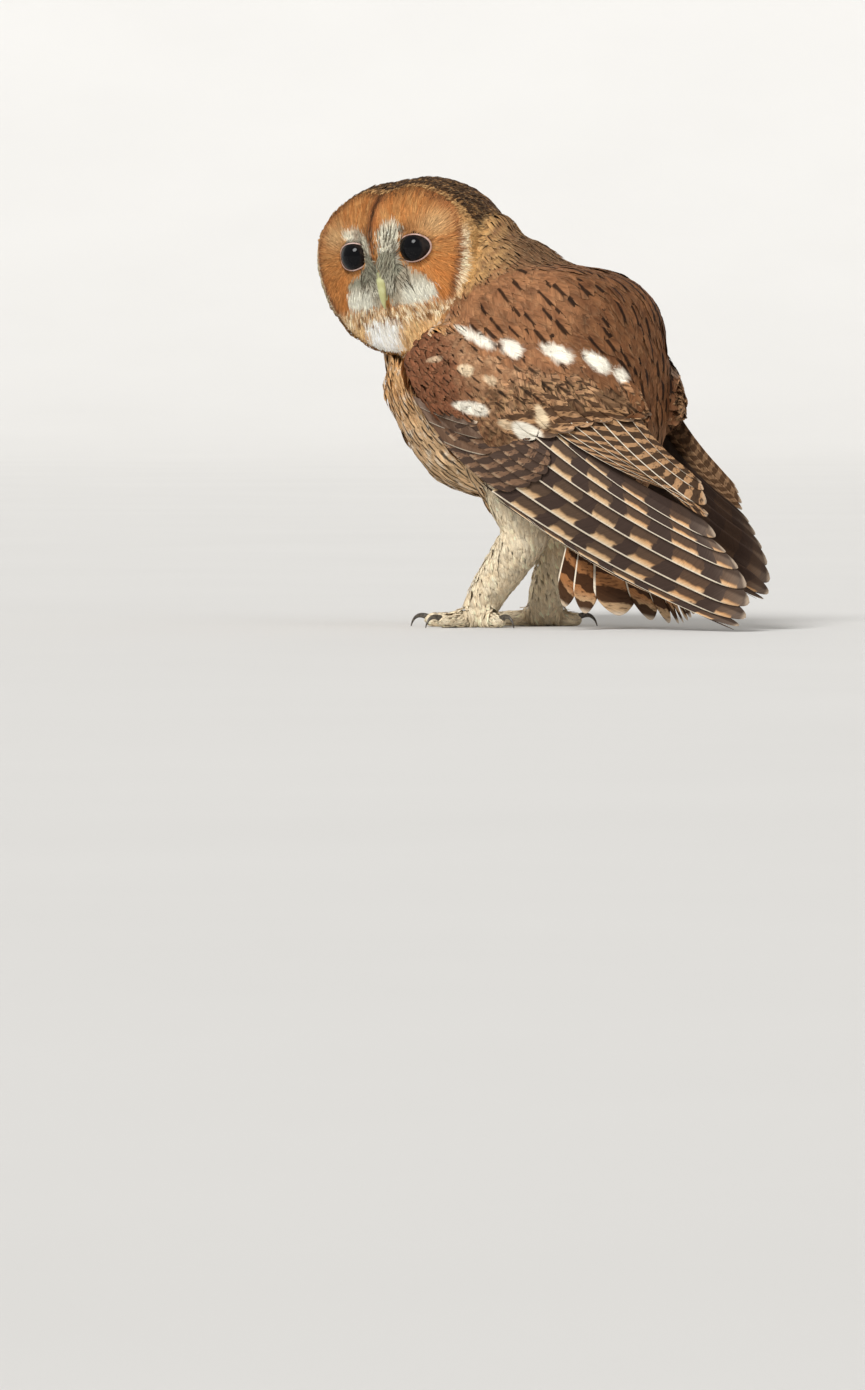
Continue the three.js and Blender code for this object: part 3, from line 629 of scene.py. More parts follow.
def face_tone(p):
    left, up, _ = head_place(p)
    side = np.abs(left)
    turn = steepness(left, up)
    share = rim_share(left, up)
    fine = noise(p, 3, 1)
    from_eye = rays(left, up, EYE_SPACING / 2, 0, 4.0, 2)
    from_bill = rays(left, up, 3, -8, 3.2, 3)
    # Rufous disc, golden in rays, brighter at its lower sides and darker at the top.
    tone = layered(
        RUFOUS + 0 * p, (GOLDEN, clipped(0.38 + 0.45 * from_eye)),
        ((0.58, 0.215, 0.056), 0.7 * step(0, -18, up) * step(20, 34, side)),
    ) * (1 - 0.14 * step(16, 32, up))[:, None]
    # Pale spot over the outer corner of the eye, deep rim, and the dark line down the forehead; painted shade darkens
    # the far side of the face.
    line = left + 2.2 * step(34, 22, up)
    tone = layered(
        tone, ((0.66, 0.42, 0.20), 0.75 * bell((side - 35) / 11, (up - 13) / 8)),
        (RUFOUS_DEEP, 0.7 * step(0.86, 0.95, share) * step(12, 40, side)),
        (RUFOUS_DEEP, 0.85 * bell(line / mix(2.6, 4.6, step(4, 18, up))) * step(-4, 2, up)),
        (DARK * 0.6, 0.95 * bell(line / mix(0.8, 1.5, step(12, 30, up))) * step(2, 9, up)),
    ) * (1 - 0.2 * step(-20, -36, left))[:, None]
    # Cream line at the rim between a dark line and gold, and dark flecks at the top.
    rimmed = step(30, 10, turn) * step(-66, -56, turn)
    rim_colour = blend((0.60, 0.34, 0.135), (0.93, 0.78, 0.52), step(-44, -24, turn) * step(14, 2, turn))
    # Pale brows, lores and cheeks, ragged at their edges.
    a, b = side + 1.3 * fine, up + 1.6 * from_bill
    dark_ray = step(0.3, 0.9, from_bill)
    brow = np.where(left > 0, inside(BROW, a, b), inside(RIGHT_BROW, a, b))
    lores = np.where(left > 0, inside(LORES, a, b), inside(RIGHT_LORES, a, b))
    cheek = blend((0.42, 0.36, 0.26), CHEEK, step(7, 14, side) * step(-16, -25, up))
    cheek = blend(cheek, GOLDEN, 0.55 * step(24, 33, side) * step(-26, -20, up))
    tone = layered(
        tone, (rim_colour, 0.9 * rimmed * step(0.955, 0.98, share)),
        ((0.12, 0.045, 0.018), 0.8 * rimmed * step(0.90, 0.93, share) * step(0.965, 0.94, share)),
        ((0.64, 0.35, 0.125), step(1.01, 1.05, share) * rimmed),
        ((0.10, 0.045, 0.018),
         0.75 * step(26, 38, turn) * step(0.9, 0.96, share + 0.03 * fine) * step(-0.3, 0.3, fine + 0.3)),
        (blend(GREY_WHITE, (0.44, 0.40, 0.29), dark_ray), brow * (1 - 0.4 * step(11, 19, up))),
        (cheek, inside(CHEEKS, a, b)),
        (blend(LORE, (0.22, 0.20, 0.14), dark_ray), lores * step(-3, -10, up)),
    )
    # The speckled band under the cheeks, the white chin and the gold beside it.
    tufts = noise(np.stack([left * 2.2, up * 0.9, 0 * up], 1), 4.4, 4)
    speckle = layered(
        rgb(0.62, 0.36, 0.155) + 0 * p, ((0.15, 0.055, 0.02), 0.9 * step(0.15, 0.5, tufts)),
        ((0.94, 0.77, 0.52), step(0.0, -0.4, tufts)),
    )
    chin = step(-40, -43, up + 2.5 * tufts) * step(16, 10, np.abs(left + 9 + 0.25 * (-43 - up)) + 4 * fine)
    lower = step(-41, -46, up) * (1 - chin)
    # Dark smudges above the eye and beside its inner corner.
    return layered(
        tone, (speckle, step(-32, -35, up + 1.5 * fine)), ((0.95, 0.91, 0.82), chin),
        (blend((0.52, 0.27, 0.10), (0.92, 0.62, 0.30), step(-0.4, 0.5, tufts)), 0.95 * lower),
        ((0.13, 0.055, 0.022), 0.8 * bell((side - 17.5) / 4.4, (up - 12.2) / 3.0)),
        ((0.06, 0.045, 0.03), 0.85 * bell((side - 9.6) / 1.9, (up + 1) / 6.0)),
    )


def rim_tone(p):
    """A thin cream rim beside the face, with gold and dark flecks above and below it."""
    left, up, _ = head_place(p)
    turn = steepness(left, up)
    share = rim_share(left, up)
    fleck = noise(p, 3.6, 5)
    side = step(-60, -34, turn) * step(32, 14, turn)
    cream = blend((0.60, 0.34, 0.135), (0.95, 0.82, 0.56), step(14, 2, turn) * step(-46, -24, turn))
    inner = step(0.985, 0.95, share) * step(-70, -55, turn)
    return layered(
        rgb(0.44, 0.22, 0.080) + 0 * p, ((0.70, 0.43, 0.18), 0.9 * step(0.1, 0.7, fleck)),
        ((0.075, 0.03, 0.012), 0.9 * step(0.1, -0.3, fleck) * step(-5, 30, turn)),
        (cream, side * step(0.955, 0.985, share) * step(1.05, 1.01, share - 0.02 * fleck)),
        ((0.66, 0.37, 0.135), 0.85 * (step(1.01, 1.05, share) * step(22, 4, turn))),
        ((0.13, 0.045, 0.018), 0.9 * inner * step(45, 30, turn)),
    )


def head_tone(p):
    """Head behind the face: dark crown, golden sides, streaked nape."""
    left, up, out = head_place(p)
    depth = -out
    turn = steepness(left, up)
    crown = step(-6, 14, turn - 0.12 * (depth - 20) + 9 * noise(p, 8, 8)) * step(12, 18, depth + 0.5 * turn)
    return layered(
        rgb(0.62, 0.32, 0.115) + 0 * p, ((0.78, 0.48, 0.20), clipped(0.5 + 0.5 * noise(p, 6, 7))),
        ((0.15, 0.07, 0.03), 0.85 * step(0.2, 0.55, noise(p, 3.4, 33)) * step(14, 24, depth)),
        (NAPE, 0.8 * step(38, 62, depth + 6 * noise(p, 9, 32))),
        (blend(CROWN, (0.13, 0.06, 0.028), step(30, 80, depth)), crown),
        ((0.46, 0.24, 0.09), 0.85 * crown * step(0.4, 0.8, noise(p, 3.6, 31))),
        ((0.62, 0.40, 0.21), 0.8 * step(-38, -60, turn) * step(60, 30, depth)),
    )


def patch_shares(p):
    """Each patch of the back and wings with its share at points p."""
    x, z = side_place(p)
    for px, pz, long, wide, turn, colour, strength in PATCHES:
        c, s = math.cos(math.radians(turn)), math.sin(math.radians(turn))
        a, b = ((x - px) * c + (z - pz) * s) / long, (-(x - px) * s + (z - pz) * c) / wide
        strength = strength * np.where((px > 30) & (p @ LEFT < 0), 0.15, 1.0)
        yield colour, strength * step(1.15, 0.85, np.hypot(a, b * (1 - 0.25 * a)))


def calm(p):
    """How much of the fine marks is left at points p: next to none inside a patch."""
    return math.prod(1 - 0.92 * share for _, share in patch_shares(p))


def behind(p):
    """How far towards the back from the middle line of the trunk, in millimetres."""
    rows = np.array(TRUNK, float)
    axis = place(rows[:, 0], rows[:, 1], rows[:, 2])
    middle = np.interp((p - axis[0]) @ TAILWARD, (axis - axis[0]) @ TAILWARD, (axis - axis[0]) @ BACKWARD)
    return (p - axis[0]) @ BACKWARD - middle


def nape_share(p):
    """1 on the nape and upper neck, 0 below its edge."""
    x, z = side_place(p)
    edge = np.interp(x, [-62, -51, -25, 11, 40], [188, 197, 213, 217, 215])
    return step(-4, 5, z - edge + 2 * noise(p, 9, 19)) * step(-30, -5, behind(p))


def body_tone(p):
    """Neck and trunk: rufous mantle, streaked buff breast, pale belly, white throat."""
    back = behind(p)
    x, z = side_place(p)
    mantle = step(-6, 10, back + 4 * noise(p, 12, 9))
    front = layered(
        BREAST, ((0.70, 0.41, 0.18), 0.5 + 0.45 * noise(p, 11, 10)), (BELLY, 0.6 * step(150, 105, z)),
        (WHITE, 0.55 * step(0.45, 0.8, noise(p, 9, 20))),
    )
    rear = layered(
        MANTLE, ((0.40, 0.185, 0.082), 0.5 + 0.5 * noise(p, 13, 11)),
        ((0.13, 0.055, 0.026), 0.5 * step(0.3, 0.8, noise(p, 9, 12))),
    )
    # Painted shade: the rear of the mantle darkened towards the tail and over the back. The lower back is paler.
    rear = layered(
        rear, (rear * rgb(0.56, 0.52, 0.48), step(-8, 40, x) * step(-10, 20, back)),
        ((0.36, 0.20, 0.11), step(128, 108, z) * 0.6),
    )
    gold = step(-10, -38, x)
    nape = blend(
        blend((0.16, 0.078, 0.037), NAPE, gold), blend((0.23, 0.125, 0.06), (0.70, 0.41, 0.16), gold),
        0.5 + 0.5 * noise(p, 6, 21),
    )
    throat = bell((x + 90) / 13, (z - 172) / 10) * step(24, 14, np.abs(p @ LEFT))
    return layered(
        front, (rear, mantle), (nape, nape_share(p)), (WHITE, clipped(1.6 * throat) * (1 - mantle)), *patch_shares(p),
    )


def arm_tone(p):
    """Covered arm: plain brown lesser coverts in front and above, mottled coverts behind."""
    x, z = side_place(p)
    edge = np.interp(x, [-40, -20, 10, 40, 60], [139, 146, 150, 148, 141])
    mottled = step(3, -3, z - edge + 3 * noise(p, 9, 43)) * step(-46, -34, x)
    return layered(
        COVERT, ((0.47, 0.265, 0.14), 0.5 + 0.5 * noise(p, 10, 13)),
        ((0.17, 0.085, 0.045), 0.6 * step(0.25, 0.8, noise(p, 7, 14))),
        (blend(LESSER, (0.27, 0.105, 0.05), 0.5 + 0.5 * noise(p, 6, 16)),
         step(-38, -58, x + 0.35 * (z - 150) + 3 * noise(p, 10, 15))),
        ((0.48, 0.28, 0.135), 0.8 * mottled * step(0.0, 0.5, noise(p, 5.5, 41))),
        ((0.06, 0.03, 0.015), 0.85 * mottled * step(0.05, 0.5, noise(p, 5.5, 42))),
        *patch_shares(p),
    )


def leg_tone(p):
    return layered(
        LEG, ((0.90, 0.78, 0.57), 0.5 + 0.5 * noise(p, 8, 17)),
        ((0.38, 0.25, 0.14), 0.35 * step(0.6, 0.95, noise(p, 3.5, 18))),
    )


def skin_tone(p, label, share):
    """The colour under the coat, by part; share is 1 on the face."""
    tone = np.where((label == 0)[:, None], blend(head_tone(p), face_tone(p), share), body_tone(p))
    tone = np.where((label == 3)[:, None], arm_tone(p), tone)
    return np.where((label >= 4)[:, None], leg_tone(p), tone)


# ------------------------------------------------------------------ the lie of the coat
def lying(direction, normal):
    """The part of the direction that lies in the surface, at unit length."""
    return unit(direction - (direction * normal).sum(1)[:, None] * normal)


def body_flow(p, normal):
    return lying(np.broadcast_to(TAILWARD, p.shape), normal)


def head_flow(p, normal):
    tailward = step(30, 80, -head_place(p)[2])[:, None] * 0.9 + 0.25
    return lying(-FACE + tailward * TAILWARD, normal)


def face_flow(p, normal):
    """Away from the eye at the sides, and from the base of the bill between the eyes."""
    left, up, _ = head_place(p)
    sign = np.where(left < 0, -1.0, 1.0)
    from_eye = np.stack([left - sign * EYE_SPACING / 2, up], 1)
    from_bill = np.stack([left - sign * np.minimum(np.abs(left), 2.5) * 0.9, up + 5], 1)
    outer = step(9, 19, np.abs(left) - 6 * step(10, 40, np.abs(up)))
    outer = np.where(np.abs(steepness(left, up)) > 50, outer * 0.6, outer)
    flat = unit(blend(unit(from_bill), unit(from_eye), outer))
    return lying(flat[:, :1] * FACE_LEFT + flat[:, 1:] * FACE_UP + 0 * p, normal)


def bristle_flow(p, normal):
    return lying(-FACE_UP - 0.25 * np.sign(head_place(p)[0])[:, None] * FACE_LEFT + 0.3 * FACE, normal)


def arm_flow(p, normal):
    wing = WINGS["left"]
    start, end = (wing_point(wing, np.array([x]), np.array([z]), 0)[0] for x, z in (wing["wrist"], wing["tip"]))
    flow = unit(end - start)
    return lying(np.where((p @ LEFT)[:, None] > 0, flow, mirror(flow)), normal)


def leg_flow(p, normal):
    return lying(np.broadcast_to(-UP - 0.15 * FORWARD, p.shape), normal)


def toe_flow(p, normal):
    """Outward along each toe from the middle of its foot."""
    flow = np.zeros_like(p)
    for leg in LEGS.values():
        mine = np.sign(p @ LEFT) == leg["side"]
        flow[mine] = (p[mine] - foot_middle(leg)) * np.array([1, 1, 0.0]) - 4 * UP
    return lying(flow, normal)


# Unwraps of the skin by part, from 0 to 1 both ways.
def face_unwrap(p):
    left, up, _ = head_place(p)
    return np.stack([left / 125 + 0.5, (up + 65) / 112], 1)


def head_unwrap(p):
    left, up, out = head_place(p)
    return np.stack([np.arctan2(left, up + 8) / (2 * np.pi) + 0.5, (-out + 5) / 115], 1)


def body_unwrap(p):
    down = (p - place(*TRUNK[0][:3])) @ TAILWARD
    return np.stack([np.arctan2(p @ LEFT, behind(p)) / (2 * np.pi) + 0.5, (down + 60) / 250], 1)


def arm_unwrap(p):
    x, z = side_place(p)
    outer = np.where(p @ LEFT > 0, 0.0, 0.5)
    return np.stack([(x + 90) / 170 * 0.48 + outer + 0.01, (z - 75) / 120], 1)


def leg_unwrap(p):
    left = p @ LEFT
    turn = np.arctan2(left - np.where(left > 0, 25.0, -25.0), p @ FORWARD - 6) / (2 * np.pi) + 0.5
    return np.stack([turn * 0.48 + np.where(left > 0, 0.01, 0.51), p[:, 2] / 150], 1)


def foot_unwrap(p):
    return np.stack([(p @ FORWARD + 50) / 140, (p @ LEFT + 75) / 150], 1)


# ------------------------------------------------------------------ feathers
def vane_width(v):
    """Half width of a contour feather along its length, 1 at the widest."""
    v = np.clip(v, 0, 1)
    return np.where(v < 0.55, np.sin(np.pi / 2 * v / 0.55) ** 0.75, np.sqrt(1 - ((v - 0.55) / 0.46) ** 2))


def feather(barbs):
    """A contour feather as two webs of broad barbs that overlap: points (u, v, h), triangles and strips."""
    points, faces, strips = [], [], []
    gap = 0.86 / barbs
    for k in range(barbs):
        start = 0.02 + gap * k
        end = min(0.985, start + 0.34 - 0.16 * k / barbs)
        for side in (-1, 1):
            reach = RNG.uniform(0.9, 1.04) * (0.8 if RNG.random() < 0.1 else 1)
            height = RNG.uniform(-0.3, 0.3)
            at = len(points)
            for share, thick, rise in ((0.0, 1.3, 0.0), (0.55, 1.4, 0.1), (1.0, 1.2, 0.0)):
                for half in (-0.5, 0.5):
                    edge = start + (end - start) * share + half * gap * thick
                    wide = share ** 0.8 * float(vane_width(edge)) * reach
                    points.append((side * wide, min(edge, 1.0), height + rise + 0.15 * half))
            for first in (at, at + 2):
                faces += [(first, first + 2, first + 1), (first + 1, first + 2, first + 3)]
            strips += [2 * k + (side > 0)] * 6
    return np.array(points), np.array(faces), np.array(strips)


def plume(bend):
    """A narrow feather for face, lids, bristles and toes, its tip bent to one side."""
    points = np.array([(-0.6, 0, 0), (0.6, 0, 0), (-1, 0.45, 0.2), (1, 0.45, 0.2), (bend, 1, 0)], float)
    return points, np.array([(0, 1, 3), (0, 3, 2), (2, 3, 4)]), np.zeros(5, int)


# Height along a feather, as shares of its lift, at evenly spaced rows.
LIFT = np.array([0.1, 0.66, 0.93, 1.0, 0.90])
ROWS = len(LIFT)
TURN_SPREAD = 7  # degrees
LOWEST = 0.12  # millimetres over the floor
PATCH_SIZE = 0.0015  # half the side of a feather's patch in the unwrap


def centrelines(roots, faces, flow, length, stiff):
    """Lines of ROWS points from each root along the lie of the coat, with normals and sides."""
    p, n = roots, skin.face_normals[faces]
    d = flow(p, n)
    turned = np.radians(RNG.normal(0, TURN_SPREAD, len(p)))[:, None]
    d = unit(d * np.cos(turned) + np.cross(n, d) * np.sin(turned))
    points, normals, lines = [p], [n], [d]
    for _ in range(ROWS - 1):
        q, n, _ = skin.nearest(p + d * (length / (ROWS - 1))[:, None])
        d = lying(mix(flow(q, n), unit(q - p + d * 1e-3), stiff), n)
        p = q
        points.append(p)
        normals.append(n)
        lines.append(d)
    points, normals, lines = (np.stack(a, 1) for a in (points, normals, lines))
    for _ in range(2):
        normals[:, 1:-1] = unit(normals[:, 1:-1] * 2 + normals[:, :-2] + normals[:, 2:])
    return points, normals, unit(np.cross(normals, lines))


PIECES = []


def plant(name, slot, roots, faces, flow, length, width, lift, templates, tone, unwrap, look=(0.0, 0.0, 0.0),
          camber=0.18, shade=0.12, stiff=0.5, grow=1.0, quiet=False):
    """Plants a feather at each root: one joined mesh, its colour from tone(points, feathers) at every vertex."""
    count = len(roots)
    length, width, lift = (
        size * RNG.uniform(low, high, count)
        for size, low, high in ((length, 0.85, 1.15), (width, 0.85, 1.15), (lift, 0.8, 1.1))
    )
    lines = centrelines(roots, faces, flow, length, stiff)
    kind = RNG.integers(0, len(templates), count)
    roll = np.radians(RNG.normal(0, TURN_SPREAD, count))
    shades = 1 + RNG.normal(0, shade, count)
    look = np.stack([np.broadcast_to(share, count) for share in look], 1)
    shapes, tones, marks, vanes, uvs = [], [], [], [], []
    for k, (shape, triangles, strips) in enumerate(templates):
        mine = np.flatnonzero(kind == k)
        if not len(mine):
            continue
        u, v, h = shape.T
        row = np.clip(v * (ROWS - 1), 0, ROWS - 1.001)
        i, f = row.astype(int), (row - row.astype(int))[None, :, None]
        centre, normal, side = (mix(a[mine][:, i], a[mine][:, i + 1], f) for a in lines)
        half = (width[mine] / 2)[:, None]
        rise = np.interp(v, np.linspace(0, 1, ROWS), LIFT)[None] * lift[mine][:, None]
        rise = rise - camber * half * u[None] ** 2 + 0.18 * h[None] * grow
        rise = rise + np.sin(roll[mine])[:, None] * half * u[None]
        p = centre + unit(side) * (half * u[None])[..., None] + unit(normal) * rise[..., None]
        p[..., 2] = np.maximum(p[..., 2], LOWEST)
        flat = p.reshape(-1, 3)
        colour = tone(flat, np.repeat(mine, len(u)))
        jitter = RNG.normal(1, 0.07, (len(mine), strips.max() + 1))[:, strips].ravel()
        # Each feather darker towards its root: partly its greyer down, partly painted shade under the feathers that lie
        # over it.
        base = np.interp(v, [0, 0.35, 1], [0.62, 0.95, 1.0])[None]
        colour = colour * (jitter * (shades[mine][:, None] * base).ravel())[:, None]
        starts = np.arange(len(mine))[:, None, None] * len(u)
        shapes.append((flat, (triangles[None] + starts).reshape(-1, 3)))
        tones.append(np.clip(colour, 0.003, 0.95))
        marks.append(np.repeat(look[mine], len(u), 0) * (calm(flat)[:, None] if quiet else 1))
        chance = np.repeat(RNG.random(len(mine)), len(u))
        vanes.append(np.stack([np.tile(u, len(mine)), np.tile(v, len(mine)), chance], 1))
        patch = unwrap(roots[mine])[:, None] + np.stack([u, v * 2 - 1], 1)[None] * PATCH_SIZE
        uvs.append(np.clip(patch, 0, 1).reshape(-1, 2))
    data = {key: np.vstack(values) for key, values in (("tone", tones), ("mark", marks), ("vane", vanes))}
    PIECES.append(piece(name, slot, *joined(shapes), data, np.vstack(uvs)))


# ------------------------------------------------------------------ large feathers
def edge_curve(group, count, sag):
    """Side view curves of the leading edges of a row of feathers, from their roots to their ends."""
    def curve(i, t):
        share = np.asarray(i / count, float)
        start, end = smooth(group["from"], share), smooth(group["to"], share)
        along = unit(end - start)
        across = np.array([along[1], -along[0]])
        t = np.asarray(t, float)[..., None]
        return mix(start, end, t) + across * sag * 4 * t * (1 - t)
    return curve


def blade(surface, i, last, trail=1.7, rows=30, columns=15, tip=0.15, thick=0.35, rise=0.9, lean=0.42, shaft=0.28,
          point=0.0):
    """A closed thin vane between leading edges i and i + 1, its far side under the next feather.

    Gives points, quads, (place across, decimetres from the tip, 0), and place across and along from 0 to 1.
    """
    t = 1 - (1 - np.linspace(0, 1, rows)) ** 1.5
    q = np.clip((t - (1 - tip)) / tip, 0, 1)
    short = mix(1 - np.sqrt(np.maximum(1 - q ** 2, 0.0)), 0.92 * q ** 1.7, point)
    c = np.linspace(0, 1, columns)
    low, high = lean * short, 1 - (1 - lean) * short
    share = low[:, None] + (high - low)[:, None] * c[None]
    s = share * (1.0 if last else trail)
    height = np.where(s < 1, rise * (1 - s), -0.3 * (s - 1)) + shaft * bell((share - 0.64) / 0.04)
    t = np.broadcast_to(t[:, None], s.shape)
    edge, under = surface(i, t, s, height), surface(i, t, s, height - thick)
    top = grid_faces(rows, columns, False)
    half = rows * columns
    border = np.concatenate([
        np.arange(columns), np.arange(1, rows) * columns + columns - 1,
        (rows - 1) * columns + np.arange(columns - 2, -1, -1), np.arange(rows - 2, 0, -1) * columns,
    ])
    following = np.roll(border, -1)
    wall = np.stack([border, border + half, following + half, following], 1)
    length = np.linalg.norm(edge[-1, columns // 2] - edge[0, columns // 2])
    data = np.stack([np.tile(share.ravel(), 2), np.tile(((1 - t) * length / 100).ravel(), 2), np.zeros(2 * half)], 1)
    return (
        np.vstack([edge.reshape(-1, 3), under.reshape(-1, 3)]), np.vstack([top, top[:, ::-1] + half, wall]), data,
        np.stack([np.tile(c, rows * 2), np.tile(t.ravel(), 2)], 1),
    )


SHAPES = {}
FLIGHT = []


def blades(name, slot, sheets, stagger=0.13, replaces=()):
    """One mesh of many blades: each sheet is (surface, count, options of blade, looks).

    Looks are the pale tone, the dark tone, the marks (bar period in decimetres, pale edge, pale tip) and the
    form (bars kept to the leading web with a painted shadow of the next feather, blotches, bars at all), or a function
    that gives these four.
    """
    shapes, attributes, uvs = [], {key: [] for key in ("tone", "deep", "mark", "form", "vane")}, []
    total = sum(count for _, count, _, _ in sheets)
    for surface, count, options, looks in sheets:
        for i in range(count):
            number = len(shapes)
            points, faces, data, island = blade(surface, i, i == count - 1, **options)
            given = looks(i / max(count - 1, 1), data, points) if callable(looks) else looks
            data[:, 2] = (number * stagger + 0.3 * RNG.random()) % 1
            for key, values in zip(attributes, (*given, data)):
                attributes[key].append(np.broadcast_to(np.asarray(values, float), data.shape))
            island = np.stack([(number + 0.06 + 0.88 * island[:, 0]) / total, 0.01 + 0.48 * island[:, 1]], 1)
            island[len(points) // 2:, 1] += 0.5
            shapes.append((points, faces))
            uvs.append(island)
    SHAPES[name] = joined(shapes)
    attributes = {key: np.vstack(values) for key, values in attributes.items()}
    FLIGHT.append(piece(name, slot, *SHAPES[name], attributes, np.vstack(uvs), replaces))


def wing_surface(wing, curve, level):
    def surface(i, t, s, height):
        a, b = curve(i, t), curve(i + 1, t)
        xz = a + (b - a) * s[..., None]
        return wing_point(wing, xz[..., 0], xz[..., 1], height + level)
    return surface


def primary_looks(share, data, p):
    along = data[:, 1] * 100
    tone = blend((0.57, 0.30, 0.130), (0.54, 0.33, 0.165), step(50, 90, along))
    tone = blend((0.40, 0.27, 0.165), tone, step(2, 11, along))
    deep = blend((0.125, 0.088, 0.066), (0.052, 0.032, 0.024), step(4, 24, along))
    period = mix(0.195, 0.265, step(8, 60, along))
    return tone, deep, np.stack([period, 0 * period + 1.0, 0 * period + 0.5], 1), (1.0, 0.2, 1.0)


def tail_looks(share, data, p):
    tone = blend((0.58, 0.38, 0.21), (0.44, 0.19, 0.07), step(6, 16, data[:, 1] * 100))
    return tone, (0.055, 0.022, 0.009), (0.17, 1.0, 1.0), (0.0, 1.0, 0.95)


def alula_looks(share, data, p):
    tone = blend((0.15, 0.085, 0.05), (0.19, 0.13, 0.095), share)
    return tone, (0.10, 0.055, 0.034), (0.11, 0.45, 1.0), (0, 0.7, 0.45)


def covert_looks(share, data, p):
    tone = rgb(0.46, 0.26, 0.13) + 0.1 * noise(p, 8, 40)[:, None] * rgb(1, 0.6, 0.35)
    form = calm(p)[:, None] * rgb(0, 1.6, 0.9)
    return layered(tone, *patch_shares(p)), (0.06, 0.03, 0.016), (0.10, 0.0, 0.1), form


# The right wing's secondaries take a paler deep tone than the left's: painted light on their shaded inner side.
SECONDARY_LOOKS = {
    "left": ((0.40, 0.225, 0.11), (0.045, 0.024, 0.013), (0.086, 1.0, 0.4), (0.0, 1.1, 0.95)),
    "right": ((0.40, 0.235, 0.125), (0.10, 0.05, 0.025), (0.075, 0.7, 0.8), (0.0, 1.0, 0.8)),
}
PRIMARY_COVERT_LOOKS = ((0.25, 0.14, 0.08), (0.062, 0.038, 0.027), (0.105, 0.0, 0.0), (0.35, 1.5, 0.97))

for name, wing in WINGS.items():
    primaries = wing_surface(wing, edge_curve(wing["primaries"], 8, 5), 0)
    secondaries = wing_surface(wing, edge_curve(wing["secondaries"], 7, 3), 3)
    blades("flight_" + name, "flight_feathers", [
        (primaries, 8, dict(tip=0.16), primary_looks),
        (secondaries, 7, dict(tip=0.22, rise=0.8), SECONDARY_LOOKS[name]),
    ], replaces=(f"wing_{name}_primaries", f"wing_{name}_secondaries"))


def tail_surface(i, t, s, height):
    width = np.array([-math.sin(TAIL_YAW), -math.cos(TAIL_YAW), 0])
    back = np.array([math.cos(TAIL_YAW), -math.sin(TAIL_YAW), 0])

    def edge(k):
        k = min(k, len(TAIL_TIPS) - 1)
        start = TAIL_ROOT + width * (1 - 2 * k / (len(TAIL_TIPS) - 1)) * TAIL_HALF_WIDTH
        x, z = TAIL_TIPS[k]
        end = np.array([x, TAIL_MIDDLE[1] + (x - TAIL_MIDDLE[0]) / math.tan(TAIL_YAW), z])
        return mix(start, end, t[..., None])

    a, b = edge(i), edge(i + 1)
    return a + (b - a) * s[..., None] + back * height[..., None]


# Seven tail feathers with pointed ends, then five with blunt ones.
TAIL_CUT = dict(rise=0.8, lean=0.5, trail=1.3)
blades("tail_feathers", "flight_feathers", [
    (tail_surface, 7, dict(tip=0.17, point=0.7, **TAIL_CUT), tail_looks),
    (lambda i, *at: tail_surface(i + 7, *at), 5, dict(tip=0.08, **TAIL_CUT), tail_looks),
], stagger=0.41, replaces=("tail",))

# Rows of coverts: counts, edges in side view from root to end, how the blades are cut, looks, and height.
COVERTS = [
    (6, {
        "from": [[-62, 114], [-52, 121], [-40, 126], [-26, 128]],
        "to": [[-25, 81], [-11, 84], [0, 90], [5, 98], [4, 108]],
    }, dict(tip=0.2, rise=0.7, trail=1.6), PRIMARY_COVERT_LOOKS, 1.3),
    (3, {
        "from": [[-58, 111], [-67, 123], [-73, 132], [-77.5, 139]],
        "to": [[-27, 102.5], [-28.5, 111.6], [-36, 119.6], [-41, 129]],
    }, dict(tip=0.34, rise=1.1, trail=1.5, lean=0.5), alula_looks, 1.3),
    (8, {
        "from": [[-40, 139], [-14, 152], [14, 152], [35, 145]],
        "to": [[-17, 112], [4, 113.5], [21, 119], [39, 123.5], [58, 124], [67, 129]],
    }, dict(tip=0.26, rise=0.8, trail=1.5, lean=0.5), covert_looks, 1.3 + 0.8),
]
TOWARDS_BODY = unit(side_point(0.0, -1.0, 0.0) - side_point(0.0, 0.0, 0.0))


def outer_tree(side):
    """The skin and flight feathers of one side, as if it were the left."""
    points, faces = joined([(skin.points, skin.faces), SHAPES["flight_left" if side > 0 else "flight_right"]])
    return BVHTree.FromPolygons((points if side > 0 else mirror(points)).tolist(), faces.tolist())


def draped(tree, side, curve, lift):
    """A surface that lies over everything that the tree holds."""
    kept = {}

    def ground(i, x, z):
        """Distance from the middle plane, smoothed, and worked out once for both faces of a blade."""
        if i not in kept:
            fallback = wing_point(WINGS["left"], x, z, 0) @ LEFT
            start = side_point(x, 130.0, z).reshape(-1, 3)
            hits = [tree.ray_cast(Vector(q), Vector(TOWARDS_BODY), 260)[0] for q in start]
            left = np.array([-999.0 if h is None else np.array(h) @ LEFT for h in hits]).reshape(x.shape)
            left = np.where(left < fallback - 8, fallback, left)
            for _ in range(4):
                wide = np.pad(left, 1, mode="edge")
                left = (wide[:-2, 1:-1] + wide[2:, 1:-1] + wide[1:-1, :-2] + wide[1:-1, 2:] + 2 * left) / 6
            kept[i] = left
        return kept[i]

    def surface(i, t, s, height):
        a, b = curve(i, t), curve(i + 1, t)
        x, z = np.moveaxis(a + (b - a) * s[..., None], -1, 0)
        p = side_point(x, ground(i, x, z) + lift + height, z)
        return p if side > 0 else mirror(p)
    return surface


curves = [edge_curve(group, count, 1.5) for count, group, _, _, _ in COVERTS]
for name, side in (("left", 1), ("right", -1)):
    tree = outer_tree(side)
    blades("coverts_" + name, "body_feathers", [
        (draped(tree, side, curve, lift), count, options, looks)
        for curve, (count, _, options, looks, lift) in zip(curves, COVERTS)
    ])
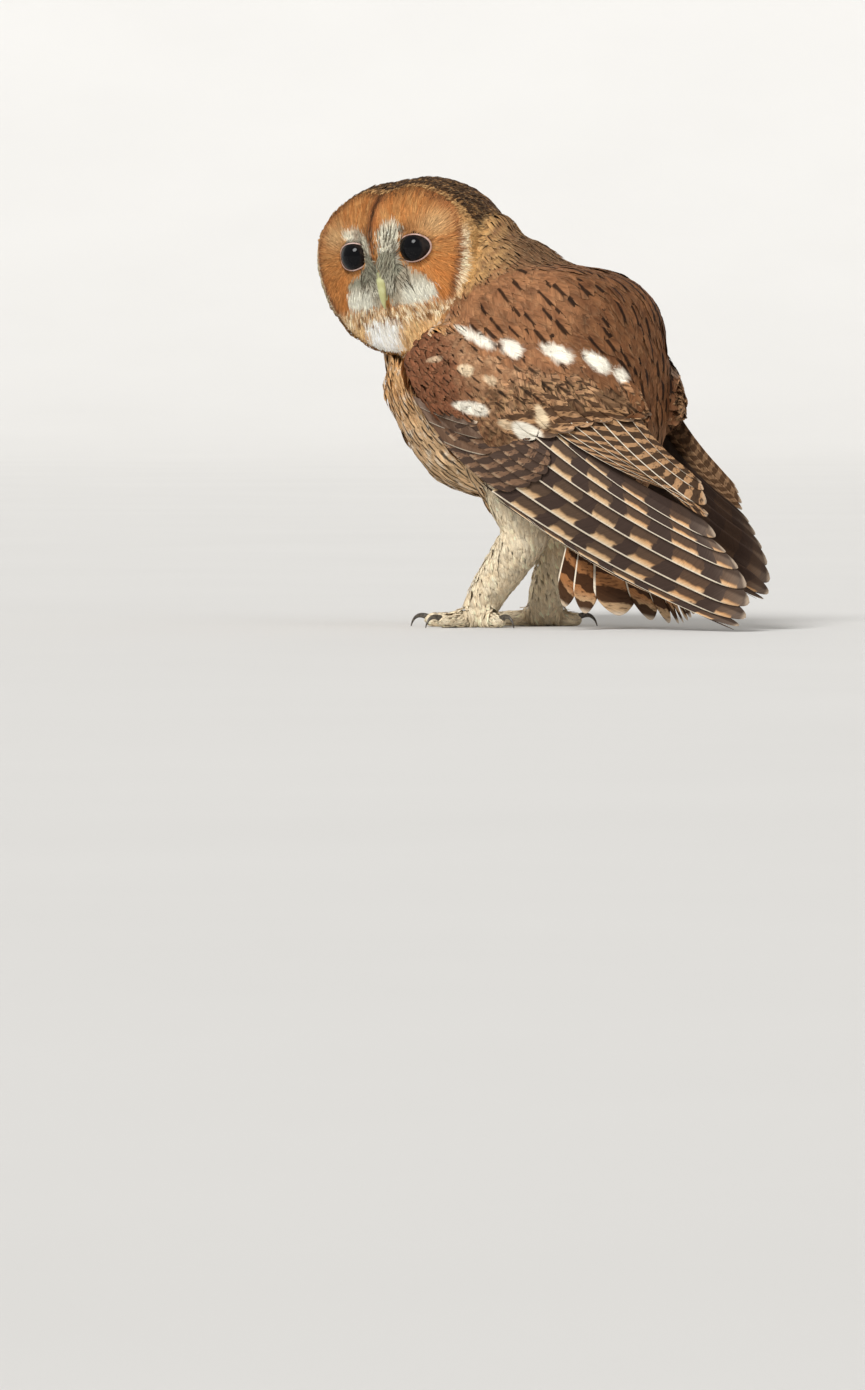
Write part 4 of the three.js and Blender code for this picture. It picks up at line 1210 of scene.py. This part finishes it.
# Outlines in side view of what the coverts hide.
covered = [
    np.array([curve(i, 0.3) for i in range(row[0] + 1)] + [curve(i, 0.97) for i in range(row[0], -1, -1)])
    for curve, row in zip(curves, COVERTS)
]


# ------------------------------------------------------------------ the coat
def is_part(*names):
    return np.isin(skin.face_labels, [LABELS.index(n) for n in names])


def by_place(table):
    """A tone function that ignores which feather a point is on."""
    return lambda p, feathers: table(p)


def by_root(table, roots, faces, flow, reach, share):
    """A tone function that lets each feather keep much of the colour that its middle has."""
    middle = roots + flow(roots, skin.face_normals[faces]) * np.asarray(reach)[..., None]
    own = table(middle + RNG.normal(0, 0.6, roots.shape))
    return lambda p, feathers: mix(table(p), own[feathers], share)


BODY_FEATHERS, HEAD_FEATHERS, SMALL_FEATHERS = ([feather(barbs) for _ in range(5)] for barbs in (10, 7, 4))
PLUMES = [plume(bend) for bend in (-0.6, -0.2, 0.2, 0.6)]

face_left, face_up, face_out = head_place(skin.points[skin.faces].mean(1))
face_share = disc_share(face_left, face_up)
front = is_part("head") & (face_out > -RIM_SETBACK - 3.2) & (face_share < 1.04)
near_eye = np.hypot(np.abs(face_left) - EYE_SPACING / 2, face_up * 1.15) < 9.6
disc = front & (face_share < 0.97) & ~near_eye
rim = is_part("head") & (face_out > -RIM_SETBACK - 6) & (face_share > 0.95) & (face_share < 1.2)

# Face: fine plumes that grow longer towards the rim.
roots, faces = skin.scatter(disc, 0.64)
left, up, _ = head_place(roots)
long = np.where(np.hypot(left, up + 4) < 12, 4.5, mix(4.5, 9.0, step(0.2, 0.85, disc_share(left, up))))
plant("plumage_face", "face_feathers", roots, faces, face_flow, long, mix(0.75, 1.5, step(-31, -38, up)), 1.3, PLUMES,
      by_root(face_tone, roots, faces, face_flow, long * 0.6, 0.7), face_unwrap, shade=0.16, grow=0.5)

# Dark hairs that spread from the bill over lores, brows and cheeks.
roots, faces = skin.scatter(disc & (np.abs(face_left) < 17) & (face_up < 9) & (face_up > -20), 2.3)
plant("plumage_hairs", "face_feathers", roots, faces, face_flow, 9.0, 0.45, 2.1, PLUMES,
      by_place(lambda p: rgb(0.13, 0.105, 0.07) + 0 * p), face_unwrap, shade=0.3, grow=0.5)


def bristle_tone(p, feathers):
    """Pale, paler lower down, and dark on one feather in five."""
    chance = np.random.default_rng(5).random(len(feathers) + 1)
    tone = blend((0.34, 0.32, 0.23), (0.58, 0.54, 0.42), step(-10, -26, head_place(p)[1]))
    return blend(tone, (0.14, 0.11, 0.075), 0.7 * (chance[feathers % len(chance)] < 0.2))


# Bristles from the lores over the sides of the bill.
beside_bill = (np.abs(face_left) > 2.8) & (np.abs(face_left) < 9)
roots, faces = skin.scatter(disc & beside_bill & (face_up < 1) & (face_up > -20), 0.9)
plant("plumage_bristles", "face_feathers", roots, faces, bristle_flow, 8.0, 0.55, 3.4, PLUMES, bristle_tone,
      face_unwrap, stiff=0.9, grow=0.5)

# Rim of the face: short, dense, stiff feathers.
roots, faces = skin.scatter(rim, 0.95)
left, up, _ = head_place(roots)
beard = step(0, -20, left) * step(6, -14, up) * RNG.random(len(roots))
plant("plumage_rim", "face_feathers", roots, faces, head_flow, 4.4 + 4.6 * beard, 1.3, 1.8 + 1.9 * beard,
      SMALL_FEATHERS, by_place(rim_tone), head_unwrap, (0.2, 0.2, 0.2))

# Head and nape, with streaked feathers among plain ones.
for name, spacing, grow, streak in (("plain", 2.2, 1.0, 0.2), ("streaked", 4.4, 1.15, 0.95)):
    roots, faces = skin.scatter(is_part("head") & ~front, spacing)
    long = mix(8.5, 15.0, step(25, 75, -head_place(roots)[2])) * grow
    plant("plumage_head_" + name, "body_feathers", roots, faces, head_flow, long, long * 0.34, 2.5 * grow,
          HEAD_FEATHERS, by_place(head_tone), head_unwrap, (streak, 0.2, 0.4))


def fine_share(p):
    """1 where the body has fine feathers, on the nape and the collar under the face."""
    x, z = side_place(p)
    return np.maximum(nape_share(p), step(-42, -50, x) * step(164, 172, z))


# Neck and trunk: three layers of plain feathers, and one of longer, higher, streaked ones, thinned on the back.
for name in ("plain_1", "plain_2", "plain_3", "streaked"):
    streaked = name == "streaked"
    grow = 1.15 if streaked else 1.0
    roots, faces = skin.scatter(is_part("neck", "trunk"), 6.4 if streaked else 4.5)
    coarse = fine_share(roots) < 0.5
    roots, faces = roots[coarse], faces[coarse]
    if streaked:
        kept = (behind(roots) < 2) | (RNG.random(len(roots)) < 0.6)
        roots, faces = roots[kept], faces[kept]
    belly, end = step(6, -8, behind(roots)), step(46, 30, roots[:, 2])
    long = mix(mix(22.0, 19.0, belly), 9.0, end) * grow
    lift = mix(4.7 if streaked else 3.8, 1.6, end) + 3.0 * belly * step(134, 162, roots[:, 2])
    look = (1.0 if streaked else mix(0.1, 0.3, belly), mix(0.3, 0.12, belly), mix(0.15, 0.5, belly))
    plant("plumage_body_" + name, "body_feathers", roots, faces, body_flow, long, long * mix(0.44, 0.38, belly), lift,
          BODY_FEATHERS, by_place(body_tone), body_unwrap, look, camber=0.14, shade=0.08, quiet=True)

# Nape and collar: finer feathers, one in three of them streaked.
roots, faces = skin.scatter(is_part("neck", "trunk"), 2.5)
fine = fine_share(roots) > 0.35
roots, faces = roots[fine], faces[fine]
plant("plumage_nape", "body_feathers", roots, faces, body_flow, 13.5, 13.5 * 0.27, 3.4, HEAD_FEATHERS,
      by_place(body_tone), body_unwrap, (np.where(RNG.random(len(roots)) < 0.35, 1.0, 0.2), 0.15, 0.4))

# Covered arms.
for name, spacing, grow, streak in (("plain", 2.7, 1.0, 0.15), ("streaked", 6.6, 1.15, 0.95)):
    roots, faces = skin.scatter(is_part("arm"), spacing)
    bare = ~np.any([inside(outline, *side_place(roots)) for outline in covered], axis=0)
    roots, faces = roots[bare], faces[bare]
    x, _ = side_place(roots)
    trailing = step(44, 60, x)
    long = mix(8.5, 16.0, step(-62, -20, x)) * mix(1.0, 0.6, trailing) * grow
    plant("plumage_arms_" + name, "body_feathers", roots, faces, arm_flow, long, long * 0.5,
          mix(3.0, 1.4, trailing) * grow, BODY_FEATHERS, by_place(arm_tone), arm_unwrap,
          (streak, mix(0.25, 1.0, step(-34, -4, x)), 0.2), quiet=True)

# Legs and toes.
roots, faces = skin.scatter(is_part("thigh", "shank"), 1.9)
long = np.where(skin.face_labels[faces] == LABELS.index("thigh"), 11.0, 8.0)
plant("plumage_legs", "leg_feathers", roots, faces, leg_flow, long, long * 0.3, 2.8, SMALL_FEATHERS,
      by_place(leg_tone), leg_unwrap, (0.06, 0.05, 0.2))
roots, faces = skin.scatter(is_part("foot"), 1.3)
plant("plumage_feet", "leg_feathers", roots, faces, toe_flow, 5.0, 1.6, 1.3, PLUMES, by_place(leg_tone), foot_unwrap,
      grow=0.5)


# ------------------------------------------------------------------ skin, eyes, bill, claws
def eye_centre(side):
    return head_point(side * EYE_SPACING / 2, 0, -EYE_SETBACK)


def eye_axis(side):
    return unit(FACE + side * 0.08 * FACE_LEFT)


def round_eye(side, turn, out_angle, radius):
    """Points about an eye: turn round its axis, angle off the axis, distance from its centre."""
    axis = eye_axis(side)
    across = unit(FACE_LEFT - axis * (FACE_LEFT @ axis))
    flat = np.cos(turn)[..., None] * across + np.sin(turn)[..., None] * np.cross(axis, across)
    return eye_centre(side) + radius[..., None] * (
        np.cos(out_angle)[..., None] * axis + np.sin(out_angle)[..., None] * flat
    )


def lid_rings(side):
    """Eyelid: a fleshy rim that hugs the eyeball and runs out under the face feathers."""
    turn = np.linspace(0, 2 * np.pi, 72, endpoint=False)
    opening = 1 / np.hypot(np.cos(turn) / LID_WIDE, np.sin(turn) / LID_HIGH)
    opening = opening * (1 - 0.05 * bell((np.degrees(turn) - 90) / 40))
    rows = [(-0.02, -0.5), (0.0, 0.2), (0.03, 0.5), (0.07, 0.6), (0.11, 0.4), (0.17, -0.2), (0.30, -1.4)]
    return np.array([
        round_eye(side, turn, opening + more, np.full_like(turn, EYE_RADIUS + high)) for more, high in rows
    ])


def eye_rings(side):
    turn = np.linspace(0, 2 * np.pi, 64, endpoint=False)
    rings = []
    for angle in np.linspace(0.004, np.pi - 0.004, 60):
        radius = EYE_RADIUS + CORNEA_BULGE * math.exp(-((angle / math.radians(42)) ** 2))
        rings.append(round_eye(side, turn, np.full(64, angle), np.full(64, radius)))
    return np.array(rings)


roots = np.concatenate([
    lid_rings(side)[row] + RNG.normal(0, 0.25, (72, 3)) for side in (1, -1) for row in (4, 5) for _ in range(3)
])
_, _, faces = skin.nearest(roots)
plant("plumage_lids", "face_feathers", roots, faces, face_flow, 5.0, 0.75, 1.2, PLUMES,
      by_root(face_tone, roots, faces, face_flow, 2.5, 0.5), face_unwrap, shade=0.14, grow=0.5)


def lid(side):
    """Points and quads of an eyelid, and its tones: pink, dark towards the bill and beside the eyeball."""
    rings = lid_rings(side)
    rows, columns, _ = rings.shape
    points = rings.reshape(-1, 3)
    depth = np.repeat(np.arange(rows) / (rows - 1), columns)
    inner = step(-4, -9, np.abs(head_place(points)[0]) - EYE_SPACING / 2)
    pink = blend((0.46, 0.27, 0.21), (0.62, 0.44, 0.38), 0.5 + 0.5 * noise(points, 6, 30))
    dark = clipped(inner * 0.9 + step(0.2, 0.1, depth))
    return (points, grid_faces(rows, columns, True)), blend(pink, (0.03, 0.02, 0.015), dark)


def skin_object():
    """The one skin: body surface and eyelids, painted as the coat is; mark tells the lids from the rest."""
    left, up, out = head_place(skin.points)
    share = step(-RIM_SETBACK - 4, -RIM_SETBACK + 1, out) * step(1.06, 0.98, disc_share(left, up))
    shapes = [(skin.points, skin.faces)]
    # The skin takes the coat's tones darkened to 0.7: painted shade for skin seen deep between the feathers.
    tones = [skin_tone(skin.points, skin.label, share) * 0.7]
    for side in (1, -1):
        shape, tone = lid(side)
        shapes.append(shape)
        tones.append(tone)
    points, faces = joined(shapes)
    marks = np.where(np.arange(len(points)) < len(skin.points), 0.0, 1.0)[:, None] * (1.0, 0.0, 0.0)
    return piece("skin", "body_feathers", points, faces, {"tone": np.vstack(tones), "mark": marks}, replaces=(
        "head", "neck", "trunk", "wing_left_arm", "wing_right_arm", "thigh_left", "thigh_right",
        "shank_left", "shank_right", "foot_left", "foot_right",
    ))


def globe(name, side):
    """An eyeball; vane holds the angle off its axis, in right angles."""
    points, faces = closed_loft(eye_rings(side))
    off = np.degrees(np.arccos(np.clip(unit(points - eye_centre(side)) @ eye_axis(side), -1, 1))) / 90
    vane = np.stack([off, 0 * off, 0 * off], 1)
    return piece(f"eye_{name}_globe", "eye", points, faces, {"vane": vane}, replaces=(f"eye_{name}",))


def bill_half(name, node, rows):
    stations = [[*head_point(0, up, out), *sizes] for up, out, *sizes in rows]
    rings = oval(stations, FACE_LEFT, rows=48, sides=32, squareness=(1.7, 2.0))
    return piece(name, "bill", *closed_loft(rings), replaces=(node,))


def talon(leg_name, leg, toe, angle, length):
    """A claw that arches out of its toe and comes down to the floor."""
    direction = toe_direction(leg, angle)
    stations = []
    for t in np.linspace(0, 1, 9):
        reach = length - 3 + CLAW_LENGTH * math.sin(1.35 * t)
        high = CLAW_HEIGHT + 3 * math.sin(math.pi * t) - (CLAW_HEIGHT - 0.2) * t ** 2
        radius = CLAW_RADIUS * (1 - 0.86 * t)
        stations.append([*(foot_middle(leg) + direction * reach + UP * high), radius * 0.85, radius, radius])
    rings = oval(stations, np.cross(direction, UP), rows=28, sides=20)
    rings[..., 2] = np.maximum(rings[..., 2], 0.05)
    return piece(f"talon_{leg_name}_{toe}", "claw", *closed_loft(rings), replaces=(f"claw_{leg_name}_{toe}",))


skin_piece = skin_object()
eyes = [globe("left", 1), globe("right", -1)]
bill = [bill_half("bill_over", "bill_upper", UPPER_BILL), bill_half("bill_under", "bill_lower", LOWER_BILL)]
claws = [talon(name, leg, *toe) for name, leg in LEGS.items() for toe in TOES]


# ------------------------------------------------------------------ materials
class Value:
    """An output of a node that can be used in formulas."""

    def __init__(self, graph, socket):
        self.graph, self.socket = graph, socket

    def __add__(self, other):
        return self.graph.math("ADD", self, other)

    def __sub__(self, other):
        return self.graph.math("SUBTRACT", self, other)

    def __mul__(self, other):
        return self.graph.math("MULTIPLY", self, other)

    def __truediv__(self, other):
        return self.graph.math("DIVIDE", self, other)


class Graph:
    """A material's nodes, put together from Python."""

    def __init__(self, name):
        self.material = bpy.data.materials.new(name)
        self.material.use_nodes = True
        self.tree = self.material.node_tree
        self.shader = self.tree.nodes["Principled BSDF"]

    def node(self, kind, inputs, output=0, **settings):
        """The output of a new node, its inputs given by number or name."""
        made = self.tree.nodes.new(kind)
        for key, value in settings.items():
            setattr(made, key, value)
        for key, value in inputs.items():
            self.plug(value, made.inputs[key])
        return Value(self, made.outputs[output])

    def plug(self, value, socket):
        if isinstance(value, Value):
            self.tree.links.new(value.socket, socket)
        else:
            socket.default_value = value

    def math(self, operation, *inputs):
        return self.node("ShaderNodeMath", dict(enumerate(inputs)), operation=operation)

    def larger(self, a, b):
        return self.math("MAXIMUM", a, b)

    def ramp(self, x, low, high, to_low=0.0, to_high=1.0):
        inputs = dict(enumerate((x, low, high, to_low, to_high)))
        return self.node("ShaderNodeMapRange", inputs, interpolation_type="SMOOTHSTEP")

    def mix(self, share, a, b):
        return self.node("ShaderNodeMix", {0: share, 6: a, 7: b}, 2, data_type="RGBA")

    def attribute(self, name):
        return self.node("ShaderNodeAttribute", {}, "Vector", attribute_name=name)

    def parts(self, name):
        """The three numbers of an attribute."""
        whole = self.node("ShaderNodeSeparateXYZ", {0: self.attribute(name)})
        return [Value(self, socket) for socket in whole.socket.node.outputs]

    def place(self):
        return self.node("ShaderNodeTexCoord", {}, "Object")

    def noise(self, vector, scale, detail=2.0):
        return self.node("ShaderNodeTexNoise", {"Vector": vector, "Scale": scale, "Detail": detail, "Roughness": 0.5})

    def grain(self, x, y, z, detail=2.0):
        """Noise at a point given by its three numbers."""
        return self.noise(self.node("ShaderNodeCombineXYZ", {0: x, 1: y, 2: z}), 1.0, detail)

    def scaled(self, colour, amount):
        return self.node("ShaderNodeVectorMath", {0: colour, 3: amount}, operation="SCALE")

    def set(self, **values):
        for key, value in values.items():
            self.plug(value, self.shader.inputs[key.replace("_", " ")])

    def bump(self, height, strength, distance):
        inputs = {"Strength": strength, "Distance": distance, "Height": height}
        self.set(Normal=self.node("ShaderNodeBump", inputs))


def plumage_material():
    """Contour feathers: dark shaft streak, cross bars, pale edge, and fine barbs."""
    g = Graph("plumage")
    tone = g.attribute("tone")
    streak, bar, pale = g.parts("mark")
    u, v, chance = g.parts("vane")
    wide = g.math("ABSOLUTE", u)
    barb = v - wide * 0.38
    seed = chance * 37.0
    fine = g.grain(barb * 26.0, g.math("SIGN", u), seed)
    broad = g.grain(u * 1.6, v * 3.2, seed)
    edge = wide + (broad - 0.5) * 0.5
    shaft = g.ramp(edge, 0.10, 0.32, 1.0, 0.0) * g.ramp(v, 0.25, 0.5)
    wave = g.math("SINE", barb * 17.0 + seed)
    bars = g.ramp(wave + (broad - 0.5) * 2.5, 0.35, 0.95)
    mark = g.larger(shaft * streak, bars * bar * 0.8)
    light = g.ramp(g.larger(edge, v), 0.7, 1.0) * pale
    colour = g.mix(light * 0.5, tone, (0.76, 0.54, 0.31, 1))
    colour = g.mix(mark, colour, g.scaled(tone, 0.13))
    colour = g.scaled(colour, g.ramp(fine, 0.25, 0.75, 0.8, 1.16))
    g.set(Base_Color=colour, Roughness=0.72, Specular_IOR_Level=0.12)
    g.bump(fine, 0.35, 0.0004)
    return g.material


def flight_material():
    """Blades: bars across the vane, a pale leading edge and tip, and fine barbs."""
    g = Graph("flight")
    tone, deep = g.attribute("tone"), g.attribute("deep")
    period, pale, tips = g.parts("mark")
    confined_and_shadowed, blotched, barred = g.parts("form")
    across, along, chance = g.parts("vane")
    seed = chance * 37.0
    warp = g.grain(across * 2.5, along * 16.0, seed)
    phase = (along + across * 0.05) / period + chance
    wave = g.math("SINE", phase * (2 * math.pi))
    rough = blotched * 1.9 + 1.3
    wave = wave + (warp - 0.5) * rough
    wave = wave + g.ramp(along, 0.3, 0.8, 0.1, 0.4) * confined_and_shadowed
    lead = g.ramp(across + warp * 0.2, 0.25, 0.36) * confined_and_shadowed
    dark = g.larger(g.ramp(wave, 0.4, 0.0), lead * 0.92)
    patch = g.mix(g.ramp(across, 0.05, 0.20, 0.45, 0.0) * confined_and_shadowed, tone, (0.84, 0.68, 0.46, 1))
    colour = g.mix(dark * barred, patch, deep)
    blotch = g.grain(across * 5.0, along * 70.0, seed, 3.0)
    colour = g.mix(g.ramp(blotch, 0.5, 0.75) * blotched, colour, deep)
    # Painted shadow that the next feather casts just in front of its edge.
    shadow = g.ramp(across, 0.44, 0.58) * confined_and_shadowed
    colour = g.mix(shadow * 0.7, colour, (0.035, 0.02, 0.014, 1))
    tip = g.ramp(along + warp * 0.03, 0.02, 0.055, 1.0, 0.0) * tips
    colour = g.mix(tip, colour, (0.66, 0.52, 0.38, 1))
    edge = g.ramp(across, 0.034, 0.062, 1.0, 0.0) * pale
    colour = g.mix(edge, colour, (0.84, 0.73, 0.57, 1))
    run = along - g.math("ABSOLUTE", across - 0.64) * 0.14
    fine = g.grain(run * 130.0, seed, 0.0)
    colour = g.scaled(colour, g.ramp(fine, 0.25, 0.75, 0.86, 1.12))
    g.set(Base_Color=colour, Roughness=0.62, Specular_IOR_Level=0.12)
    g.bump(fine, 0.3, 0.0003)
    return g.material


def skin_material():
    g = Graph("skin")
    tone = g.attribute("tone")
    lids, _, _ = g.parts("mark")
    pores = g.noise(g.place(), 900.0, 3.0)
    colour = g.scaled(tone, g.ramp(pores, 0.3, 0.7, 0.85, 1.12))
    g.set(Base_Color=colour, Roughness=g.ramp(lids, 0.0, 1.0, 0.85, 0.45), Specular_IOR_Level=0.3)
    g.bump(pores, 0.3, 0.0004)
    return g.material


def eye_material():
    g = Graph("eye")
    off, _, _ = g.parts("vane")
    streaks = g.noise(g.place(), 500.0, 3.0)
    iris = g.mix(g.ramp(streaks, 0.35, 0.65), (0.010, 0.007, 0.006, 1), (0.020, 0.013, 0.010, 1))
    colour = g.mix(g.ramp(off, 0.36, 0.44), (0.004, 0.004, 0.005, 1), iris)
    g.set(Base_Color=colour, Roughness=0.05, IOR=1.34, Specular_IOR_Level=0.25)
    return g.material


def horn_material(name, scale, dark, light, roughness, shine, fine=None):
    """Clouded horn, roughened by the clouds themselves or by finer noise of scale `fine`."""
    g = Graph(name)
    place_ = g.place()
    cloud = g.noise(place_, scale, 3.0)
    g.set(Base_Color=g.mix(g.ramp(cloud, 0.3, 0.7), dark, light), Roughness=roughness, Specular_IOR_Level=shine)
    g.bump(g.noise(place_, fine) if fine else cloud, 0.15, 0.0002)
    return g.material


for pieces, material in (
    (PIECES, plumage_material()),
    (FLIGHT, flight_material()),
    ([skin_piece], skin_material()),
    (eyes, eye_material()),
    (bill, horn_material("bill", 220.0, (0.46, 0.45, 0.20, 1), (0.62, 0.62, 0.34, 1), 0.38, 0.4, fine=1400.0)),
    (claws, horn_material("claw", 700.0, (0.035, 0.028, 0.022, 1), (0.12, 0.10, 0.075, 1), 0.32, 0.5)),
):
    for made in pieces:
        made.data.materials.append(material)


# ------------------------------------------------------------------ floor, light, camera
def stage_floor():
    """A wide pale floor that curves up far behind, in metres."""
    curve = [(9 + 5 * math.sin(a), 5 - 5 * math.cos(a)) for a in np.linspace(0.05, math.pi / 2, 24)]
    profile = [(-30, 0), (9, 0), *curve, (14, 12)]
    mesh = bpy.data.meshes.new("floor")
    faces = [(2 * i, 2 * i + 1, 2 * i + 3, 2 * i + 2) for i in range(len(profile) - 1)]
    mesh.from_pydata([(x, y, z) for y, z in profile for x in (-30, 30)], [], faces)
    mesh.shade_smooth()
    made = linked("floor", mesh)
    g = Graph("floor")
    cloud = g.noise(g.place(), 3.0, 3.0)
    g.set(Base_Color=g.mix(cloud, (0.66, 0.65, 0.63, 1), (0.70, 0.69, 0.67, 1)), Roughness=0.9)
    mesh.materials.append(g.material)


def aim(made, back):
    """Turns a light or camera to look against the direction `back`."""
    made.rotation_mode = "QUATERNION"
    made.rotation_quaternion = (-back).to_track_quat("-Z", "Y")


def sun(name, azimuth, elevation, strength, spread):
    """Soft light from azimuth degrees to the right of the camera and elevation above the floor."""
    light = bpy.data.lights.new(name, "SUN")
    light.energy = strength
    light.angle = math.radians(spread)
    a, e = math.radians(azimuth), math.radians(elevation)
    aim(linked(name, light), Vector((math.sin(a) * math.cos(e), -math.cos(a) * math.cos(e), math.sin(e))))


stage_floor()
sun("key", -28, 42, 2.6, 22)
sun("fill", 50, 25, 0.55, 60)
world = bpy.data.worlds.new("studio")
world.use_nodes = True
sky = world.node_tree.nodes["Background"]
sky.inputs["Color"].default_value = (1.0, 0.985, 0.96, 1)
sky.inputs["Strength"].default_value = 0.42
bpy.context.scene.world = world
bpy.context.scene.view_settings.view_transform = "Standard"

CAMERA_DISTANCE = 6.0
CAMERA_ELEVATION = math.radians(2)
PICTURE_MIDDLE = (-65.1, -40.8)
PICTURE_HEIGHT = 1390 * 0.0006  # metres: 1390 pixels of the photograph, 0.6 mm each
camera = bpy.data.cameras.new("camera")
camera.sensor_width = 36
camera.lens = camera.sensor_width * CAMERA_DISTANCE / PICTURE_HEIGHT
camera.clip_start, camera.clip_end = 0.1, 100
target = Vector(((PICTURE_MIDDLE[0] + OFFSET[0]) * MM, OFFSET[1] * MM, PICTURE_MIDDLE[1] * MM))
back = Vector((0, -math.cos(CAMERA_ELEVATION), math.sin(CAMERA_ELEVATION)))
eye = linked("camera", camera)
eye.location = target + back * CAMERA_DISTANCE
aim(eye, back)
bpy.context.scene.camera = eye
